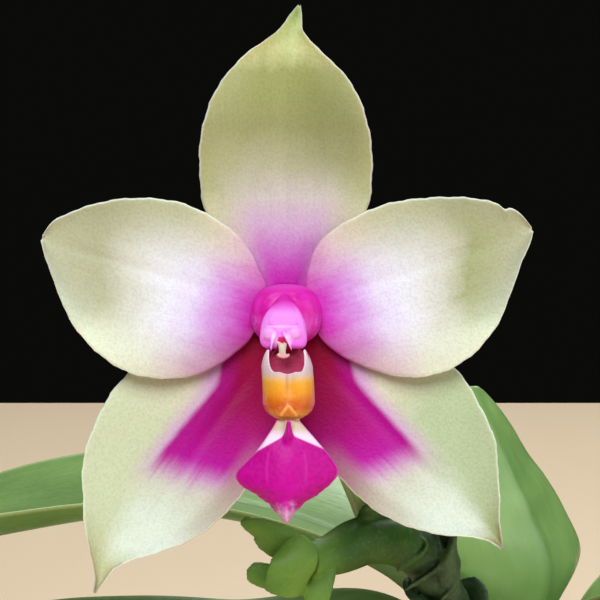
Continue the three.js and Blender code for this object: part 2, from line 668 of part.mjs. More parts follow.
function sideLobes() {
  const rings = [];
  const steps = 18;
  for (let i = 0; i <= steps; i++) {
    const turn = rad(lerp(-108, 108, i / steps));
    const squared = (v) => Math.sign(v) * Math.abs(v) ** 0.75; // a rounded box seen from above
    const away = Math.abs(turn);
    const horn = smooth(away, 0.3, 0.95) * (1 - smooth(away, 1.1, 1.9));
    const top = lerp(LOBE_RIM, LOBE_HORN, horn);
    const outer = [];
    const inner = [];
    for (let j = 0; j <= 5; j++) {
      const y = lerp(LOBE_FOOT, top, j / 5);
      // The foot is narrower, and the horns lean in over the cavity.
      const spread = lerp(0.8, 1, smooth(y, LOBE_FOOT, -9.9)) * lerp(1, 0.7, smooth(y, -5.6, -3.2));
      const wide = LOBE_HALF_WIDTH * spread;
      const at = (inset) =>
        vec(
          lerp(0.4, 0.07, smooth(y, -9, LOBE_HORN)) + (wide - inset) * squared(Math.sin(turn)),
          y,
          LOBE_FRONT - inset + (LOBE_DEPTH - inset) * (squared(Math.cos(turn)) - 1),
        );
      outer.push(at(0));
      inner.push(at(LOBE_WALL));
    }
    rings.push([...outer, ...inner.reverse()]);
  }
  const callus = ellipsoid([2.4, 1.3, 2.4], [0.35, -10.2, 9.6], 12);
  const cavityBack = ellipsoid([2.45, 3.2, 0.6], [0.3, -6.9, 8.6], 12);
  const claw = rod(through([[0.1, -5.4, 3.6], [0.1, -7, 5.4], [0.2, -9.8, 8]]), 5, 8, () => [1.2, 1]);
  return fuse(loft(rings), callus, cavityBack, claw);
}
addTo(flower, "lip_side_lobes", sideLobes(), LOBE_YELLOW);

const MID_LOBE_TOP = -11.9;
const midLobeRows = [
  [-0.5, -0.95, 1.5], [0.3, -1.4, 2.2], [1.2, -2, 3], [2.3, -2.75, 3.95], [3.4, -3.65, 4.9],
  [4.4, -4.7, 5.6], [5.1, -5.35, 5.9], [5.8, -5.6, 5.75], [6.5, -5.3, 5.2], [7.2, -4.4, 4.5],
  [8, -3.1, 3.35], [8.9, -1.95, 2], [9.8, -1.1, 1.2], [10.9, -0.15, 0.35],
];
const midLobe = blade(midLobeRows, 18, 8, 1.1, 0.7, (along, across, s) => {
  const keel = 0.9 * Math.exp(-((across - 0.1) ** 2) / 0.5) * (1 - smooth(along, 2.5, 6));
  const knob = 0.8 * Math.exp(-((across - 0.1) ** 2) / 1.2) * smooth(along, 8, 9.8);
  const arch = 1.2 * Math.sin((Math.PI * along) / 13);
  return vec(across, MID_LOBE_TOP - along, 11.6 + arch + keel + knob - 1.5 * s * s * smooth(along, 1, 5));
});
addTo(flower, "lip_midlobe", midLobe, LIP_MAGENTA);

export default plant;
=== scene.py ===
# %% [markdown]
# # A moth orchid in a clay pot
#
# The packed model is the frame of this scene: it says how large each piece is and where it sits. Here every
# piece gets the form and the surface of the living plant. Lengths are in metres, +Z is up, and the flower
# looks along -Y. Sizes are written in millimetres and multiplied by MM.

# %% Load the frame
import math

import bpy
import numpy as np
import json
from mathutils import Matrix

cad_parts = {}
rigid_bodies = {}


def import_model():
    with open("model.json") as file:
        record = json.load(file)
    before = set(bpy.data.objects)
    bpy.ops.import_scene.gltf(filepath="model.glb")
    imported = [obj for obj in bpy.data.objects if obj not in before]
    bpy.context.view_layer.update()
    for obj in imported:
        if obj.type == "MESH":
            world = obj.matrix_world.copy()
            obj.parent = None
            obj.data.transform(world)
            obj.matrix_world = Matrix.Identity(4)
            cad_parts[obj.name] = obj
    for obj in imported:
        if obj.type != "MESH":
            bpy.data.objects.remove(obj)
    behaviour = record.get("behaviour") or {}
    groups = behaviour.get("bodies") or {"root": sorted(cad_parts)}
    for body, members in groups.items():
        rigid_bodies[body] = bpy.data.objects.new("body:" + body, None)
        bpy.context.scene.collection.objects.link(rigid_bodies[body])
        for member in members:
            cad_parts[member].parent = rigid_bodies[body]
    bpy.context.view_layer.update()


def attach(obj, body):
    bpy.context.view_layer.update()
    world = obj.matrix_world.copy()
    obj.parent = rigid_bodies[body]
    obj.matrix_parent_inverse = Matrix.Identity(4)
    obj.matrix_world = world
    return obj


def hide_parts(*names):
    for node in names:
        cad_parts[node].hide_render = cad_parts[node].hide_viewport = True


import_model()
MM = 0.001

# %% [markdown]
# ## The viewpoint
#
# The photo was taken from 30 cm in front of the bloom with a long lens, looking 8 degrees down, so the
# flower's own plane is square to the lens. The bloom's centre falls a little off the middle of the picture.
# A shifted lens keeps the flower square to the camera, where turning the camera would slant it.

# %% Camera
PHOTO_SIDE = 600
BLOOM_PIXEL = (285.5, 318.0)
FOCAL_PIXELS = 2619
NOD = math.radians(8)
BLOOM = np.array([-36, -90, 172]) * MM
CAMERA_REACH = 304 * MM

# The flower's own axes: x to its right in the picture, y up its face, z out towards the viewer.
BLOOM_AXES = np.array(
    [[1, 0, 0], [0, math.sin(NOD), math.cos(NOD)], [0, -math.cos(NOD), math.sin(NOD)]]
)

camera_data = bpy.data.cameras.new("camera")
camera_data.sensor_width = 36
camera_data.lens = FOCAL_PIXELS / PHOTO_SIDE * camera_data.sensor_width
camera_data.shift_x = (PHOTO_SIDE / 2 - BLOOM_PIXEL[0]) / PHOTO_SIDE
camera_data.shift_y = (BLOOM_PIXEL[1] - PHOTO_SIDE / 2) / PHOTO_SIDE
camera_data.clip_start = 0.02
camera = bpy.data.objects.new("camera", camera_data)
camera.location = BLOOM + CAMERA_REACH * BLOOM_AXES[2]
camera.rotation_euler = (math.pi / 2 - NOD, 0, 0)
bpy.context.scene.collection.objects.link(camera)
bpy.context.scene.camera = camera
print("camera: lens", round(camera_data.lens, 1), "mm, reach", CAMERA_REACH, "m")

# %% [markdown]
# ## Table and light
#
# The plant stands on a pale square table top whose far edge closes the lower third of the picture, with an
# unlit room behind it. Broad soft lamps stand where a studio has them: a large one above and in front, a
# weaker one to the right, and one behind that gives the petals and leaves their bright rims.

# %% Colours, objects and meshes
def colour(red, green, blue):
    """A display colour, 0 to 255 a channel, as the linear colour that a shader takes."""
    shares = [c / 255 for c in (red, green, blue)]
    return (*[s / 12.92 if s <= 0.04045 else ((s + 0.055) / 1.055) ** 2.4 for s in shares], 1.0)


def add_object(name, mesh):
    """Links a mesh to the scene as an object at the origin."""
    made = bpy.data.objects.new(name, mesh)
    bpy.context.scene.collection.objects.link(made)
    return made


def mesh_of(name, points, faces):
    """A smooth-shaded mesh from points in metres and lists of corner numbers."""
    mesh = bpy.data.meshes.new(name)
    mesh.from_pydata(np.asarray(points).tolist(), [], [list(map(int, f)) for f in faces])
    mesh.shade_smooth()
    return mesh


print("mid grey in a shader:", round(colour(128, 128, 128)[0], 3))


# %% Table, room and lamps
TABLE_HALF = 0.842
LAMPS = {
    # name: place, side length, power in watts
    "key": ((-0.25, -0.95, 1.15), 0.9, 19.5),
    "fill": ((0.9, -0.75, 0.55), 1.0, 6.0),
    "back": ((0.25, 0.75, 1.0), 0.8, 8.0),
}
LAMP_TINT = (0.94, 0.98, 1.0)
ROOM_SHADE = (0.0035, 0.0035, 0.003, 1)

corners = [(TABLE_HALF * x, TABLE_HALF * y, 0) for x, y in ((-1, -1), (1, -1), (1, 1), (-1, 1))]
table_top = add_object("table_top", mesh_of("table_top", corners, [range(4)]))

room = bpy.data.worlds.new("room")
room.use_nodes = True
room.node_tree.nodes["Background"].inputs["Color"].default_value = ROOM_SHADE
bpy.context.scene.world = room
bpy.context.scene.view_settings.view_transform = "Standard"

for name, (place, side, watts) in LAMPS.items():
    lamp_data = bpy.data.lights.new(name, "AREA")
    lamp_data.shape = "SQUARE"
    lamp_data.size = side
    lamp_data.energy = watts
    lamp_data.color = LAMP_TINT
    lamp = bpy.data.objects.new(name, lamp_data)
    lamp.location = place
    aim = BLOOM - np.array(place)
    lamp.rotation_euler = (
        math.acos(-aim[2] / np.linalg.norm(aim)),
        0,
        math.atan2(aim[0], -aim[1]) + math.pi,
    )
    bpy.context.scene.collection.objects.link(lamp)
print("lamps:", ", ".join(LAMPS))

# %% [markdown]
# ## Wires: arithmetic in node trees
#
# Both shader trees and geometry trees work things out with Math nodes. Placing them one by one hides the
# formula, so a Wire stands for one value in a tree, and arithmetic on wires adds the nodes. The same class
# serves the leaf's shape and the petal's colours.


# %% Wires
def feed(tree, socket, value):
    """Gives an input socket a wire or a plain value."""
    if isinstance(value, Wire):
        tree.links.new(value.socket, socket)
    else:
        socket.default_value = value


def add_node(tree, kind, inputs=None, **settings):
    """Adds a node, makes its settings and feeds its inputs, given by name or number."""
    node = tree.nodes.new(kind)
    for name, value in settings.items():
        setattr(node, name, value)
    for key, value in (inputs or {}).items():
        feed(tree, node.inputs[key], value)
    return node


class Wire:
    """A value in a node tree. Arithmetic on it adds the math nodes that work it out."""

    def __init__(self, tree, socket):
        self.tree = tree
        self.socket = socket

    def math(self, operation, *others):
        """The result of a math operation with other wires or numbers."""
        node = add_node(self.tree, "ShaderNodeMath", dict(enumerate([self, *others])), operation=operation)
        return Wire(self.tree, node.outputs[0])

    def __add__(self, other):
        return self.math("ADD", other)

    def __sub__(self, other):
        return self.math("SUBTRACT", other)

    def __mul__(self, other):
        return self.math("MULTIPLY", other)

    def __truediv__(self, other):
        return self.math("DIVIDE", other)

    def __pow__(self, other):
        return self.math("POWER", other)

    def __rsub__(self, other):
        node = add_node(self.tree, "ShaderNodeMath", {0: other, 1: self}, operation="SUBTRACT")
        return Wire(self.tree, node.outputs[0])

    __radd__ = __add__
    __rmul__ = __mul__

    def sin(self):
        return self.math("SINE")

    def cos(self):
        return self.math("COSINE")

    def abs(self):
        return self.math("ABSOLUTE")

    def bell(self, width):
        """1 where the wire is 0, falling to nothing about twice the width away."""
        return ((self / width) ** 2 * -1).math("EXPONENT")

    def fade(self, low, high, start=0.0, end=1.0):
        """start below low, end above high and a smooth step between them."""
        ends = {"Value": self, "From Min": low, "From Max": high, "To Min": start, "To Max": end}
        node = add_node(self.tree, "ShaderNodeMapRange", ends, interpolation_type="SMOOTHSTEP")
        return Wire(self.tree, node.outputs[0])

    def vector(self, operation, other=None):
        """The result of a vector operation with another wire or value."""
        inputs = {0: self} if other is None else {0: self, "Scale" if operation == "SCALE" else 1: other}
        node = add_node(self.tree, "ShaderNodeVectorMath", inputs, operation=operation)
        return Wire(self.tree, node.outputs["Value" if operation == "LENGTH" else "Vector"])

    def xyz(self):
        """The three parts of a vector."""
        node = add_node(self.tree, "ShaderNodeSeparateXYZ", {0: self})
        return [Wire(self.tree, out) for out in node.outputs]


def combine(x, y, z):
    """A vector wire from three values, at least one of them a wire."""
    tree = next(value.tree for value in (x, y, z) if isinstance(value, Wire))
    return Wire(tree, add_node(tree, "ShaderNodeCombineXYZ", {0: x, 1: y, 2: z}).outputs[0])


print("a wire can:", ", ".join(name for name in vars(Wire) if not name.startswith("_")))


# %% [markdown]
# ## Paint
#
# Petals and leaves have no pictures on them: their colours follow rules, such as magenta that fades with
# the distance from the column. A Paint builds one material from such rules. It reads the piece's own
# attributes, Object coordinates, or the flower's axes worked out from them, so nothing slides or turns.


# %% Paint
class Paint:
    """One procedural material. Its methods return wires."""

    def __init__(self, name, **constants):
        self.material = bpy.data.materials.new(name)
        self.material.use_nodes = True
        self.tree = self.material.node_tree
        self.shader = self.tree.nodes["Principled BSDF"]
        for socket, value in constants.items():
            self.shader.inputs[socket.replace("_", " ")].default_value = value
        coordinates = add_node(self.tree, "ShaderNodeTexCoord")
        self.place = Wire(self.tree, coordinates.outputs["Object"])

    def attribute(self, name):
        """A number that the mesh keeps at each point."""
        node = add_node(self.tree, "ShaderNodeAttribute", attribute_name=name)
        return Wire(self.tree, node.outputs["Fac"])

    def in_flower(self):
        """The point in the flower's own axes, in millimetres."""
        offset = self.place.vector("SUBTRACT", BLOOM.tolist())
        inputs = {"Vector": offset, "Angle": NOD - math.pi / 2}
        turned = add_node(self.tree, "ShaderNodeVectorRotate", inputs, rotation_type="X_AXIS")
        return Wire(self.tree, turned.outputs[0]).vector("SCALE", 1 / MM).xyz()

    def noise(self, scale, detail=2.0, stretch=(1, 1, 1), where=None):
        """Noise from 0 to 1. Its features are about 1/scale across in the units of where."""
        spot = (where or self.place).vector("MULTIPLY", stretch)
        inputs = {"Vector": spot, "Scale": scale, "Detail": detail}
        return Wire(self.tree, add_node(self.tree, "ShaderNodeTexNoise", inputs).outputs["Fac"])

    def cells(self, scale, where=None):
        """The distance from the middle of the nearest of many scattered cells."""
        inputs = {"Vector": where or self.place, "Scale": scale}
        return Wire(self.tree, add_node(self.tree, "ShaderNodeTexVoronoi", inputs).outputs["Distance"])

    def mix(self, share, one, other):
        """The first colour at share 0 and the second at share 1."""
        node = add_node(self.tree, "ShaderNodeMix", {0: share, 6: one, 7: other}, data_type="RGBA")
        return Wire(self.tree, node.outputs[2])

    def over(self, shade, *layers):
        """Lays colours over a shade, one by one: each layer's share, then its red, green and blue."""
        for share, *tint in layers:
            shade = self.mix(share, shade, colour(*tint))
        return shade

    def cloudy(self, clouds, low, high, dark, bright):
        """A shade that drifts between two colours as the clouds go from low to high."""
        return self.mix(clouds.fade(low, high), colour(*dark), colour(*bright))

    def ramp(self, value, *stops):
        """The colour at a value, blended between stops that each give a value and a colour."""
        low, high = stops[0][0], stops[-1][0]
        node = add_node(self.tree, "ShaderNodeValToRGB", {0: (value - low) / (high - low)})
        for number, (place, *shade) in enumerate(stops):
            spot = (place - low) / (high - low)
            knots = node.color_ramp.elements
            knot = knots[number] if number < 2 else knots.new(spot)
            knot.position = spot
            knot.color = colour(*shade)
        return Wire(self.tree, node.outputs[0])

    def finish(self, shade, relief=None, depth=0.0, roughness=None):
        """Feeds the shader: a colour, and where given a bump of depth metres and a roughness."""
        feed(self.tree, self.shader.inputs["Base Color"], shade)
        if roughness is not None:
            feed(self.tree, self.shader.inputs["Roughness"], roughness)
        if relief is not None:
            bump = add_node(self.tree, "ShaderNodeBump", {"Height": relief, "Distance": depth})
            feed(self.tree, self.shader.inputs["Normal"], Wire(self.tree, bump.outputs[0]))
        return self.material


print("a paint can:", ", ".join(name for name in vars(Paint) if not name.startswith("_")))


# %% Flesh, and the table's wood
def flesh(name, roughness, specular, depth, share=0.1, **more):
    """A paint for living tissue: a share of the light comes out again up to depth metres away."""
    return Paint(
        name, Roughness=roughness, Specular_IOR_Level=specular,
        Subsurface_Weight=share, Subsurface_Scale=depth, **more,
    )


table_paint = Paint("pale_table", Roughness=0.7)
grain = table_paint.noise(14, 5.0, (1, 0.25, 1))
wood = table_paint.mix(grain, colour(255, 230, 195), colour(243, 214, 178))
table_top.data.materials.append(table_paint.finish(wood))
print("paint ready:", table_top.data.materials[0].name)

# %% [markdown]
# ## Curves and thin shells
#
# A blade of the flower is thin, closed and round at its margin. It is built as two grids of points, front
# and back, that share their border, so nothing has to be closed later. The outline is a smooth curve
# through a few rows, each with the distance from the base and the offsets of both margins.


# %% Curves
def smooth(value, low, high):
    """0 below low, 1 above high and a smooth step between them."""
    share = np.clip((np.asarray(value, float) - low) / (high - low), 0, 1)
    return share * share * (3 - 2 * share)


def mix(share, one, other):
    """one at share 0, other at share 1 and a blend between them."""
    return one + (other - one) * share


def curve_through(points, per_span=24):
    """Points of the centripetal Catmull-Rom curve through the given ones."""
    points = np.asarray(points, float)
    ends = [2 * points[0] - points[1]], [2 * points[-1] - points[-2]]
    knots = np.concatenate([ends[0], points, ends[1]])
    made = []
    for a, b, c, d in zip(knots, knots[1:], knots[2:], knots[3:]):
        before, span, after = [np.linalg.norm(q - p) ** 0.5 for p, q in ((a, b), (b, c), (c, d))]
        leave = ((b - a) / before - (c - a) / (before + span) + (c - b) / span) * span
        arrive = ((c - b) / span - (d - b) / (span + after) + (d - c) / after) * span
        t = np.linspace(0, 1, per_span, endpoint=False)[:, None]
        cubic = 2 * b - 2 * c + leave + arrive
        square = 3 * c - 3 * b - 2 * leave - arrive
        made.append(b + leave * t + square * t**2 + cubic * t**3)
    return np.concatenate([*made, points[-1:]])


def even_route(points, count):
    """count points spaced evenly along the smooth curve through the given ones."""
    dense = curve_through(points, 60)
    reach = np.concatenate([[0], np.cumsum(np.linalg.norm(np.diff(dense, axis=0), axis=1))])
    wanted = np.linspace(0, reach[-1], count)
    return np.stack([np.interp(wanted, reach, dense[:, k]) for k in range(3)], 1)


def in_plant(points):
    """Points of the flower's own axes, in millimetres, as points of the plant in metres."""
    return BLOOM + np.asarray(points) @ BLOOM_AXES * MM


print("a curve through 3 points has", len(curve_through([(0, 0, 0), (1, 0, 0), (1, 1, 0)])), "points")


# %% Shells and their places
def shell(name, front, back, marks):
    """A closed thin mesh from two grids that share their border. marks are numbers kept at each point."""
    rows, columns = front.shape[:2]
    outer = np.arange(rows * columns).reshape(rows, columns)
    inner = outer.copy()
    inner[1:-1, 1:-1] = rows * columns + np.arange((rows - 2) * (columns - 2)).reshape(rows - 2, -1)
    points = np.concatenate([front.reshape(-1, 3), back[1:-1, 1:-1].reshape(-1, 3)])

    def squares(grid):
        corners = [grid[:-1, :-1], grid[:-1, 1:], grid[1:, 1:], grid[1:, :-1]]
        return np.stack(corners, -1).reshape(-1, 4)

    faces = np.concatenate([squares(outer), squares(inner)[:, ::-1]])
    a, b, c, d = (points[faces[:, k]] - points.mean(0) for k in range(4))
    volume = (np.cross(a, b) * c).sum() + (np.cross(a, c) * d).sum()
    mesh = mesh_of(name, points, faces if volume > 0 else faces[:, ::-1])
    for mark, grid in marks.items():
        values = np.concatenate([grid.reshape(-1), grid[1:-1, 1:-1].reshape(-1)])
        mesh.attributes.new(mark, "FLOAT", "POINT").data.foreach_set("value", values.astype(np.float32))
    return mesh


def margin_distance(along, across, low, high):
    """How far each point lies from the nearest margin, in mm. From the sides it counts to 4 at most."""
    aside = np.minimum(np.minimum(across - low, high - across), 4)
    return np.minimum(aside, np.minimum(along - along.min(), along.max() - along))


def stand_for(piece, node, material=None):
    """A finished piece takes the place of its CAD node and rides on the plant."""
    if material:
        piece.data.materials.clear()
        piece.data.materials.append(material)
    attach(piece, "root")
    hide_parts(node)
    print(f"{piece.name}: {len(piece.data.polygons)} faces")
    return piece


# %% [markdown]
# ## Sepals and petals
#
# The open flower is a shallow bowl of five thick, waxy blades: three sepals behind and two petals in front.
# Each one is a shell over its outline. Its foot hugs the round column, its edges rise a little, its margin
# is rounded, and a faint fold runs down its middle.

# %% Outlines of the five blades
SEPAL_LAYER = 0.2
PETAL_LAYER = 1.8

BLADES = {
    "sepal_dorsal": dict(
        base=(0, 3), axis=90, layer=SEPAL_LAYER, cup=1.6, cup_from=16,
        rows=[
            (0.7, -3.2, 3.2), (2.5, -4.5, 4.5), (6, -7.1, 7.1), (9.6, -9.5, 9.4), (13.5, -10, 9.9),
            (17.5, -9.8, 9.8), (22, -8.5, 8.5), (24.2, -7.2, 7.2), (26, -5.6, 5.7), (27.5, -3.9, 4),
            (28.7, -2.7, 2.2), (29.9, -1.95, 0.6), (31.3, -1.85, -0.4), (32.5, -1.75, -1.45),
        ],
    ),
    "sepal_left": dict(
        base=(-1.3, -2.5), axis=-125.3, layer=SEPAL_LAYER, cup=1.4, cup_from=22,
        rows=[
            (1, -3, 1.2), (3, -4.9, 3.1), (6, -7.5, 5.4), (10, -10.6, 6.9), (15, -11.8, 7.3),
            (20, -11.2, 6.9), (24, -9.8, 5.6), (27.5, -7.2, 3.2), (30.2, -4.9, 1), (31.8, -3.05, 0.3),
            (33.7, -1.1, 0.2), (35.2, -0.15, 0.15),
        ],
    ),
    "sepal_right": dict(
        base=(1.7, -2.5), axis=-46.2, layer=SEPAL_LAYER, cup=1.4, cup_from=22,
        rows=[
            (1, -1.3, 2.5), (3, -3.4, 4), (6, -6.1, 6), (10, -7.6, 8.9), (15, -7.8, 10.6), (20, -7.4, 9.6),
            (24, -5.9, 8), (26.2, -4.5, 6.1), (28, -3.1, 4.6), (29.6, -1.5, 3), (31, -0.55, 1.7),
            (32.2, -0.15, 0.8), (33, 0, 0.15),
        ],
    ),
    "petal_left": dict(
        base=(-2.7, 1.5), axis=163.5, layer=PETAL_LAYER, cup=1.0, cup_from=10,
        rows=[
            (0.4, -2, 3.4), (0.75, -2.9, 4.9), (1.5, -3.8, 6.3), (2.6, -5.15, 7.8), (5, -6.9, 9.9),
            (8, -8, 11.2), (12, -8.6, 11.8), (16, -8, 10.8), (20, -6.5, 8.3), (23, -4.6, 4.8),
            (24.6, -3.3, 2.6), (25.6, -2.1, 1.1), (26.15, -0.5, 0.15),
        ],
    ),
    "petal_right": dict(
        base=(2.7, 1.7), axis=17.7, layer=PETAL_LAYER, cup=1.0, cup_from=10,
        rows=[
            (0.4, -3.7, 1.7), (0.75, -5.2, 2.8), (1.6, -6.8, 4.6), (3, -8.2, 6.15), (5, -9.8, 7.15),
            (8, -11.5, 7.85), (12, -12.2, 8.15), (16, -11.3, 7.5), (20, -8.6, 6.3), (22.6, -5.4, 5.1),
            (24.6, -2.8, 3.7), (25.8, -1.4, 2.6), (26.7, 0, 0.5),
        ],
    ),
}
NOTCH = {"petal_right": (24.4, 0.35, 0.35)}  # how far out, how wide and how deep the margin is nicked
for name, form in BLADES.items():
    print(name, "is", max(high - low for _, low, high in form["rows"]), "mm wide")


# %% Rows, columns and a round margin
RIM = 0.42
NEAR_MARGIN = np.array([0, 0.06, 0.25, 0.6])


def rows_between(rows, count):
    """The outline at count places, closer together near both ends so that they round off well."""
    dense = curve_through(rows, 40)
    share = 0.5 - 0.5 * np.cos(np.linspace(0, math.pi, count))
    share = mix(0.45, np.linspace(0, 1, count), share)
    spot = share * (len(dense) - 1)
    return [np.interp(spot, np.arange(len(dense)), dense[:, k])[:, None] for k in range(3)]


def across_columns(low, high, count):
    """Offsets across a blade, with extra columns close to each rounded margin, and their share."""
    inset = np.minimum(RIM, (high - low) / 4)
    middle = np.linspace(0, 1, count)
    left = low + inset * NEAR_MARGIN
    right = (high - inset * NEAR_MARGIN)[:, ::-1]
    across = np.concatenate([left, mix(middle, low + inset, high - inset), right], axis=1)
    return across, 2 * (across - low) / np.maximum(high - low, 1e-6) - 1


def rounded(distance):
    """0 at a margin and 1 from RIM inwards, along a quarter circle."""
    return np.sqrt(1 - (1 - np.clip(distance / RIM, 0, 1)) ** 2)


print("half a rim in from the margin a blade has", round(float(rounded(RIM / 2)), 2), "of its thickness")


# %% The five blades
BOWL = 0.0045
BLADE_THICK = 0.95
BLADE_EDGE = 0.65
FOOT_REACH = 3.75
FOOT_BEND = 1.2
BLADE_ROWS = 120
BLADE_COLUMNS = 52
MARGIN_WAVE = 0.05
MARGIN_RIPPLE = 0.03
MARGIN_LIFT = 0.16
FOLD_DEPTH = 0.16
FOLD_HALF = 0.7


def flower_blade(name, base, axis, layer, cup, cup_from, rows):
    """One blade. axis is its direction in degrees, layer its depth, and cup how far its sides rise."""
    along, low, high = rows_between(rows, BLADE_ROWS)
    if name in NOTCH:
        place, width, depth = NOTCH[name]
        high = high - depth * np.exp(-(((along - place) / width) ** 2))
    uneven = smooth(along, 4, 9) * np.clip((high - low) / 4, 0, 1)
    low = low + uneven * (MARGIN_WAVE * np.sin(1.9 * along + axis) + MARGIN_RIPPLE * np.sin(4.7 * along))
    high = high + uneven * (MARGIN_WAVE * np.sin(2.3 * along + axis) + MARGIN_RIPPLE * np.sin(5.3 * along))
    across, side = across_columns(low, high, BLADE_COLUMNS)
    along = along + 0 * across
    cos, sin = math.cos(math.radians(axis)), math.sin(math.radians(axis))

    def spot(out, aside):
        return base[0] + out * cos - aside * sin, base[1] + out * sin + aside * cos

    foot = rows[0][0]
    foot_x, foot_y = spot(foot, mix((side + 1) / 2, rows[0][1], rows[0][2]))
    pull = (FOOT_REACH / np.hypot(foot_x, foot_y) - 1) * (1 - smooth(along, foot, foot + FOOT_BEND))
    flat_x, flat_y = spot(along, across)
    x, y = flat_x + pull * foot_x, flat_y + pull * foot_y
    reach = np.hypot(x, y)
    depth = layer + BOWL * reach**2 + cup * side**2 * smooth(reach, cup_from, cup_from + 10)
    lift = np.sin(0.55 * along + 3 * side) * np.abs(side) ** 3 * smooth(reach, 6, 14)
    depth = depth + MARGIN_LIFT * lift
    fold = FOLD_DEPTH * np.exp(-((across / FOLD_HALF) ** 2))
    fold = fold * smooth(along, 3, 8) * (1 - smooth(along, 20, 27))
    margin = margin_distance(along, across, low, high)
    half = mix(side**2, BLADE_THICK, BLADE_EDGE) / 2 * rounded(margin)
    front = in_plant(np.stack([x, y, depth + half - fold * rounded(margin)], -1))
    back = in_plant(np.stack([x, y, depth - half - fold * rounded(margin)], -1))
    marks = {"along_mm": along, "across_mm": across, "margin_mm": margin, "side": side}
    return add_object(name, shell(name, front, back, marks))


blades = {name: flower_blade(name, **form) for name, form in BLADES.items()}
print("blades:", ", ".join(blades))

# %% [markdown]
# ## Colours of the blades
#
# The tissue is white where it is thick, and greener towards its tips and upper edges. Magenta spreads from
# the column: a soft blush on the petals and the upper sepal, and on the lower sepals a strong stripe whose
# outer border is straight and crisp, while its far end fades out and painted shade along the inner margin
# ends it on the other side. A painted highlight runs along each blade's rim, and painted shade darkens the
# upper sepal's right half and a band on the lower side of each petal. Fine veins run along each blade, and
# the skin's cells give a grain in colour and relief.

# %% What the blades' paints share
SKIN_RELIEF = 0.0001


def blade_fields(name):
    """A paint and the wires that every blade's colours are worked out from."""
    paint = flesh(name, 0.5, 0.15, 0.0015)
    along, across = paint.attribute("along_mm"), paint.attribute("across_mm")
    skin = paint.noise(3200, 3.0)
    veins = paint.noise(1.0, 2.0, where=combine(along * 0.12, across * 1.9, 0.0))
    cloud = paint.noise(1.0, 2.0, where=combine(along * 0.3, across * 0.5, 4.0)) - 0.5
    return paint, along, across, skin, veins, cloud


def finish_blade(paint, shade, skin, veins, painted_rim_colour, painted_rim_share):
    """Adds what all blades share: a painted highlight along the thin rim, veins and the grain of the skin."""
    # Painted highlight: a bright band along each margin.
    rim = paint.attribute("margin_mm").fade(0.05, 0.3, 0.7, 0.0)
    shade = paint.mix(rim * painted_rim_share, shade, painted_rim_colour)
    grain = 1.0 - (veins - 0.5).abs() * 0.16 - skin.fade(0.62, 0.3, 0.0, 0.1)
    relief = skin * 0.5 + veins * 0.15
    return paint.finish(shade.vector("SCALE", grain), relief, SKIN_RELIEF, skin.fade(0.3, 0.8, 0.4, 0.54))


print("the grain of the skin stands", SKIN_RELIEF / MM, "mm high")


# %% Upper sepal and petals
def dorsal_paint():
    """Magenta at its foot, then olive with a paler flank on each side, painted shade over its right half and
    a bright tip.
    """
    paint, along, _, skin, veins, cloud = blade_fields("sepal_upper")
    side = paint.attribute("side")
    place = along + cloud * 2.5
    middle = paint.ramp(
        place, (0.5, 198, 26, 168), (2, 200, 58, 180), (4, 198, 102, 194), (8, 208, 172, 208),
        (11, 206, 196, 196), (14.5, 184, 180, 152), (19, 156, 157, 108), (25, 164, 170, 110),
        (28, 216, 224, 164), (30.5, 214, 236, 176),
    )
    flank = paint.ramp(
        place, (0.5, 206, 90, 185), (3, 210, 158, 196), (6, 222, 208, 196), (9, 214, 210, 172),
        (12, 182, 182, 136), (19, 170, 172, 124), (25, 184, 192, 140), (28, 222, 228, 170),
        (30.5, 206, 230, 166),
    )
    shade = paint.mix(side.abs().fade(0.3, 1.0), middle, flank)
    # Painted shade: the right half of the sepal is darkened to a shadowy olive.
    right_half_shade = side.fade(0.1, -0.45) * side.fade(-1.0, -0.75) * along.fade(11, 16) * along.fade(27, 22)
    shade = paint.over(shade, (right_half_shade * 0.35, 122, 128, 74))
    return finish_blade(paint, shade, skin, veins, colour(232, 236, 236), along.fade(7, 14))


def petal_paint(name, upward, tip_shade):
    """A white middle between a greener upper and a creamier lower side, which has a band of painted shade a
    few mm out. upward is the upper side's sign.
    """
    paint, along, _, skin, veins, cloud = blade_fields(name)
    above = paint.attribute("side") * upward
    below = above.fade(0.35, -0.3) * above.fade(-0.95, -0.6)
    place = along + cloud * 3.0 + veins * 1.2 - 0.6 + below * along.fade(9, 14) * 2.2
    middle = paint.ramp(
        place, (0, 200, 26, 165), (1.5, 205, 60, 188), (3, 210, 108, 208), (5, 216, 158, 228),
        (8, 230, 220, 248), (11, 234, 234, 246), (14, 228, 229, 230), (17, 210, 211, 196),
        (20, *tip_shade), (27, 188, 190, 158),
    )
    upper = paint.ramp(
        place, (0, 200, 50, 175), (2, 208, 140, 192), (5, 218, 202, 194), (8, 212, 208, 178),
        (12, 190, 194, 160), (20, 176, 180, 146), (27, 180, 182, 152),
    )
    # The lower ramp's dull warm band at about 7 mm out is painted shade.
    lower = paint.ramp(
        place, (0, 180, 36, 140), (1.5, 184, 84, 156), (4, 196, 146, 176), (7, 208, 184, 184),
        (11, 216, 216, 190), (15, 226, 232, 206), (18, 230, 238, 212), (22, 196, 204, 180),
        (27, 170, 174, 150),
    )
    shade = paint.mix(above.fade(0.15, 1.0), middle, upper)
    shade = paint.mix(above.fade(-0.25, -1.0), shade, lower)
    return finish_blade(paint, shade, skin, veins, colour(240, 244, 236), along.fade(3, 9))


petal_paints = [
    petal_paint("petal_of_the_left", -1, (182, 183, 152)),
    petal_paint("petal_of_the_right", 1, (170, 176, 130)),
]
stand_for(blades["sepal_dorsal"], "sepal_dorsal", dorsal_paint())
for name, material in zip(("petal_left", "petal_right"), petal_paints):
    stand_for(blades[name], name, material)


